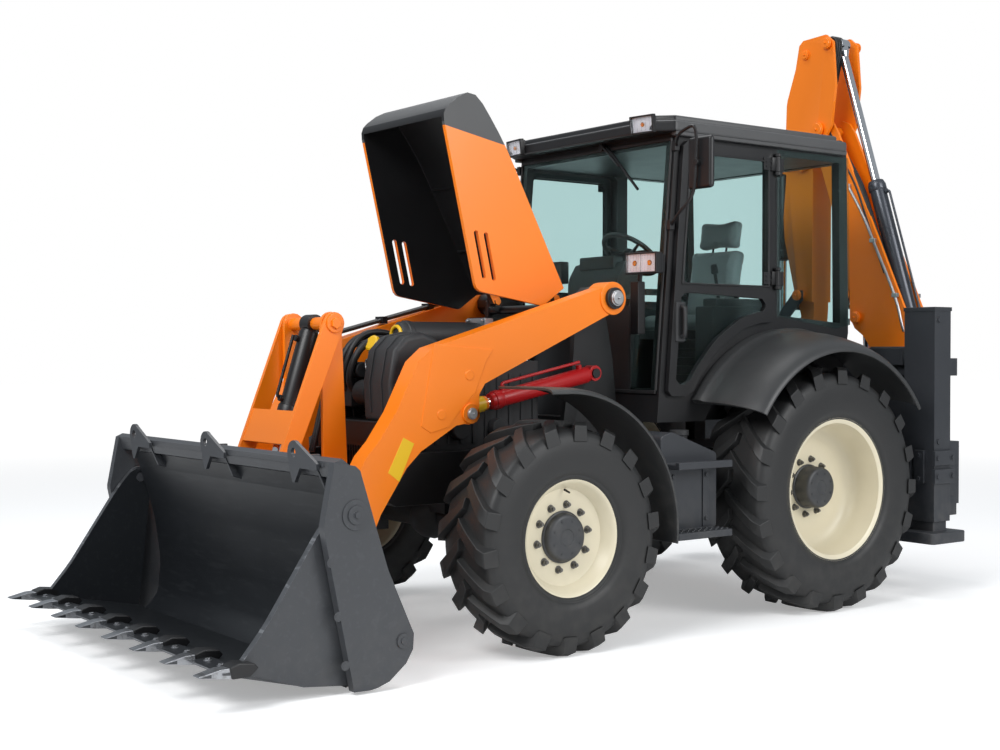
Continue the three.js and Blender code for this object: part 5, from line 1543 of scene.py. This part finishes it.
# %% Seat base and arm rests
bm = bmesh.new()
block(bm, at(-0.200, -0.130, 1.181), at(0.200, 0.210, 1.26))
for i in range(6):
    z = 1.265 + i * 0.055
    inset = 0.018 if i % 2 else 0.0
    block(bm, at(-0.185 + inset, -0.115 + inset, z), at(0.185 - inset, 0.195 - inset, z + 0.054))
block(bm, at(-0.215, -0.335, 1.60), at(0.215, 0.085, 1.655))
for side in (-1, 1):
    block(bm, at(side * 0.262 - 0.026, -0.25, 1.89), at(side * 0.262 + 0.026, 0.04, 1.93))
    bar(bm, at(side * 0.262, 0.04, 1.91), at(side * 0.225, 0.10, 1.86), 0.016, sides=20)
for x in (-0.06, 0.06):
    bar(bm, at(x, 0.165, 2.15), at(x, 0.185, 2.27), 0.007, sides=14)
piece("seat_base", bm, PLASTIC, "machine", bevel=0.006)
print("seat base done")

# %% [markdown]
# ## Fenders
# Both fenders are moulded shells.  Each has one section that bulges and turns down at its
# edge, so it is spun and closed at the ends.  The rear one is spun about its wheel, and the
# front one about a point 40 mm ahead of its wheel, which leaves the tyre room to steer.


# %% Fender shells
def shell(bm, section, centre, side, start, sweep, steps):
    """A closed section of (x, radius), swept round the wheel axis from the start angle."""
    a = math.radians(start)
    ring = closed_loop(bm, [Vector((side * x, centre.y + r * math.cos(a),
                                    centre.z + r * math.sin(a))) for x, r in section])
    spun = bmesh.ops.spin(bm, geom=ring, cent=centre, axis=(1, 0, 0),
                          angle=math.radians(sweep), steps=steps)
    bmesh.ops.holes_fill(bm, edges=[e for e in bm.edges if e.is_boundary], sides=0)
    return [v for v in spun["geom_last"] if isinstance(v, bmesh.types.BMVert)]


REAR_SECTION = [(0.7205, 0.945), (0.775, 0.947), (0.800, 0.940), (0.815, 0.928), (0.875, 0.926),
                (0.960, 0.916), (1.040, 0.900), (1.110, 0.880), (1.160, 0.858), (1.190, 0.838),
                (1.205, 0.818), (1.205, 0.806), (1.196, 0.802), (1.190, 0.812), (1.172, 0.832),
                (1.140, 0.850), (1.080, 0.872), (0.980, 0.892), (0.880, 0.900), (0.7205, 0.905)]
FRONT_SECTION = [(0.760, 0.755), (1.120, 0.755), (1.165, 0.752), (1.192, 0.745), (1.205, 0.734),
                 (1.205, 0.724), (1.197, 0.722), (1.194, 0.730), (1.182, 0.736), (1.158, 0.740),
                 (1.110, 0.743), (0.760, 0.743)]
for label, side in SIDES:
    bm = bmesh.new()
    shell(bm, REAR_SECTION, at(0, 0, 0.717), side, 34, 112, 48)
    piece(f"fender_rear_{label}_skin", bm, FENDER, "machine",
          stands_for=[f"fender_rear_{label}"], bevel=0.002, smooth=50)
    bm = bmesh.new()
    centre = at(0, -2.070, 0.588)
    front = shell(bm, FRONT_SECTION, centre, side, -6, 98, 40)
    drawn_out(bm, [f for f in bm.faces if all(v in front for v in f.verts)], (0, -0.090, 0))
    piece(f"fender_front_{label}_skin", bm, FENDER, "machine",
          stands_for=[f"fender_front_{label}"], bevel=0.002, smooth=50)
    bm = bmesh.new()
    side_block(bm, side, (0.436, 0.775), (-1.480, -1.440), (1.000, 1.040))
    side_block(bm, side, (0.720, 0.775), (-1.480, -1.330), (0.990, 1.050))
    side_block(bm, side, (0.775, 0.86), (-1.460, -1.400), (1.030, 1.050))
    piece(f"fender_front_bracket_{label}", bm, BLACK, "machine", bevel=0.003)
print("fenders swept")

# %% [markdown]
# ## Steps, rear frame and legs
# The steps hang on the tank and have cleated treads.  The rear frame is plain plate and
# tube, bolted up with clamp plates that also guide the legs.

# %% Step cleats and tank trim
for label, side in SIDES:
    bm = bmesh.new()
    for z, x0, x1 in ((0.912, 0.995, 1.092), (0.545, 0.640, 1.092)):
        for i in range(9):
            y = -1.205 + 0.0438 * i
            for x in (x0 + 0.012, (x0 + x1) / 2, x1 - 0.012) if z > 0.8 else (1.01, 1.045, 1.08):
                bar(bm, at(side * x, y, z - 0.001), at(side * x, y, z + 0.006), 0.008, 0.006,
                    sides=12)
    piece(f"step_cleats_{label}", bm, CHARCOAL, "machine")
    bm = bmesh.new()
    bar(bm, at(side * 0.80, -0.95, 0.99), at(side * 0.80, -0.95, 1.055), 0.045, sides=40)
    bar(bm, at(side * 0.80, -0.95, 1.05), at(side * 0.80, -0.95, 1.080), 0.055, sides=12)
    piece(f"tank_cap_{label}", bm, PLASTIC, "machine", bevel=0.003)
    bm = bmesh.new()
    for y in (-1.18, -0.93):
        side_block(bm, side, (0.984, 0.992), (y - 0.022, y + 0.022), (0.555, 0.880))
        for z in (0.60, 0.84):
            hexagon_bolt(bm, at(side * 0.992, y, z), (side, 0, 0), 0.012, 0.009)
    piece(f"tank_straps_{label}", bm, CHARCOAL, "machine", bevel=0.002)
print("steps trimmed")

# %% Rear frame clamps, rail ends and leg feet
for label, side in SIDES:
    bm = bmesh.new()
    for z0, z1 in ((0.700, 0.790), (0.815, 0.905)):
        side_block(bm, side, (1.139, 1.160), (0.880, 1.076), (z0, z1))
        for y in (0.905, 1.050):
            hexagon_bolt(bm, at(side * 1.160, y, (z0 + z1) / 2), (side, 0, 0), 0.015, 0.012)
    for z in (1.72, 0.96):
        hexagon_bolt(bm, at(side * 1.139, 0.935, z), (side, 0, 0), 0.017, 0.012)
    low, high = 0.700, 0.905
    for x in (0.94, 1.04):
        block(bm, at(side * x - 0.036, 0.876, low), at(side * x + 0.036, 0.900, high))
        for z in (low + 0.03, high - 0.03):
            hexagon_bolt(bm, at(side * x, 0.876, z), (0, -1, 0), 0.013, 0.010)
    side_block(bm, side, (0.905, 1.145), (0.893, 1.063), (1.775, 1.7995))
    piece(f"leg_clamps_{label}", bm, CHARCOAL, "machine", bevel=0.003)
    bm = bmesh.new()
    for y in (0.935, 1.02):
        side_block(bm, side, (0.99, 1.06), (y - 0.010, y + 0.010), (0.395, 0.450))
    bar(bm, at(side * 0.985, 0.978, 0.425), at(side * 1.065, 0.978, 0.425), 0.020, sides=28)
    piece(f"foot_lugs_{label}", bm, CHARCOAL, f"stabilizer_{label}", bevel=0.003)
bm = bmesh.new()
for x in (-1.09, 1.09):
    for z in (1.42, 0.55):
        for dz in (-0.03, 0.03):
            hexagon_bolt(bm, at(x * 0.93, 1.1595, z + dz), (0, 1, 0), 0.014, 0.011)
for i in range(13):
    x = -0.96 + 0.16 * i
    if abs(x) > 0.4 or i % 2:
        hexagon_bolt(bm, at(x, 1.1595, 1.385), (0, 1, 0), 0.010, 0.006)
piece("rear_frame_bolts", bm, ZINC, "machine", bevel=0.001)
bm = bmesh.new()
for side in (-1, 1):
    lens = at(side * 0.88, 1.055, 1.22)
    block(bm, lens - Vector((0.09, 0.0, 0.05)), lens + Vector((0.09, 0.09, 0.05)))
piece("tail_lamp_boxes", bm, PLASTIC, "machine", bevel=0.008)
for color, lens_material, near, far in (("red", RED_LENS, -0.080, 0.0),
                                        ("amber", AMBER, 0.002, 0.080)):
    bm = bmesh.new()
    for side in (-1, 1):
        lens = at(side * 0.88, 1.146, 1.22)
        block(bm, lens + Vector((near, 0.0, -0.040)), lens + Vector((far, 0.007, 0.040)))
    piece(f"tail_lamp_{color}", bm, lens_material, "machine", bevel=0.003)
print("rear frame trimmed")

# %% [markdown]
# ## Digging arm
# The arm's plates come from the CAD.  Its pins get greased heads, and oil reaches the three
# rams through steel pipes on the boom and hose bundles over its top, clamped to the plates.

# %% Pin heads on the digging arm
PINS = {
    "kingpost": [(0.220, 0.720, 0.153, 0.052), (*BOOM_RAM[0], 0.149, 0.042)],
    "boom": [(*BOOM_RAM[1], 0.121, 0.042), (*DIPPER_RAM[0], 0.121, 0.040)],
    "dipper": [(0.820, 3.100, 0.156, 0.052), (*DIPPER_RAM[1], 0.156, 0.040),
               (0.943, 3.649, 0.140, 0.034), (0.980, 1.620, 0.128, 0.044),
               (1.010, 1.930, 0.150, 0.038), (*CURL_RAM[0], 0.080, 0.034)],
    "bell_lever": [(*CURL_RAM[1], 0.142, 0.036)],
    "curl_link": [(1.197, 1.735, 0.150, 0.034)],
    "dig_bucket": [(1.070, 1.464, 0.126, 0.034)],
}
for body, pins in PINS.items():
    bm = bmesh.new()
    for reach, z, half, radius in pins:
        for way in (-1, 1):
            pin_head(bm, arm_at(reach, z, way * half), (0, way, 0), radius, 0.018)
    piece(f"pin_heads_{body}", bm, PIN_PAINT[body], body, bevel=0.0015)
print("pin heads", sum(len(p) * 2 for p in PINS.values()))

# %% Pipes and hoses on the boom
for way, label in ((-1, "near"), (1, "far")):
    off = way * 0.117
    pipe(f"boom_pipe_{label}", [
        arm_at(0.105, 1.66, way * 0.100), arm_at(0.110, 1.70, off), arm_at(0.150, 1.875, off),
        arm_at(0.344, 2.267, off), arm_at(0.440, 2.470, off), arm_at(0.560, 2.660, off),
        arm_at(0.590, 2.710, off), arm_at(0.610, 2.740, way * 0.095)], 0.0105, ZINC, "boom")
    bm = bmesh.new()
    for reach, z in ((0.165, 1.905), (0.355, 2.287), (0.575, 2.680)):
        block(bm, arm_at(reach + 0.022, z - 0.014, min(way * 0.104, way * 0.131)),
              arm_at(reach - 0.022, z + 0.014, max(way * 0.104, way * 0.131)))
    piece(f"boom_pipe_clamps_{label}", bm, ZINC, "boom", bevel=0.003)
for i in range(6):
    across = -0.098 + 0.012 * (i % 3) + 0.004 * i
    shift = 0.020 * (i // 3)
    pipe(f"boom_top_hose_{i + 1}", [
        arm_at(0.265 - shift, 2.060, across), arm_at(0.345 - shift, 2.250, across),
        arm_at(0.425 - shift, 2.450, across), arm_at(0.520 - shift, 2.700, across),
        arm_at(0.685 - shift, 2.940, across), arm_at(0.770 - shift, 3.130, across),
        arm_at(0.860, 3.215, across)], 0.0115, HOSE, "boom")
for i in range(4):
    across = -0.085 + 0.022 * i
    pipe(f"head_hose_{i + 1}", [
        arm_at(0.845, 3.160, across), arm_at(0.800, 3.280, across),
        arm_at(0.765, 3.450, across), arm_at(0.715, 3.620, across),
        arm_at(0.700, 3.710, across), arm_at(0.735, 3.755, across),
        arm_at(0.800, 3.735, across), arm_at(0.850, 3.660, across)], 0.012, HOSE, "dipper")
print("hoses laid on the boom")

# %% Carriage, kingpost and digging bucket trim
bm = bmesh.new()
low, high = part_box("carriage")
for x in (low.x + 0.045, high.x - 0.045):
    for z in (low.z + 0.05, low.z + 0.13, high.z - 0.05, high.z - 0.13):
        hexagon_bolt(bm, Vector((x, at(0, 1.2305, 0).y, z)), (0, 1, 0), 0.018, 0.014)
piece("carriage_bolts", bm, ZINC, "carriage", bevel=0.001)
bm = bmesh.new()
king = at(0.620, 1.500, 1.371)
turned(bm, [(0.001, 0.030), (0.070, 0.030), (0.085, 0.022), (0.088, 0.0), (0.001, 0.0)],
       king, (0, 0, 1), 48)
for i in range(6):
    a = math.tau * i / 6
    hexagon_bolt(bm, king + Vector((0.068 * math.cos(a), 0.068 * math.sin(a), 0.022)), (0, 0, 1),
                 0.009, 0.007)
piece("kingpost_cap", bm, CHARCOAL, "kingpost", bevel=0.0015)
print("carriage from", low, "to", high)
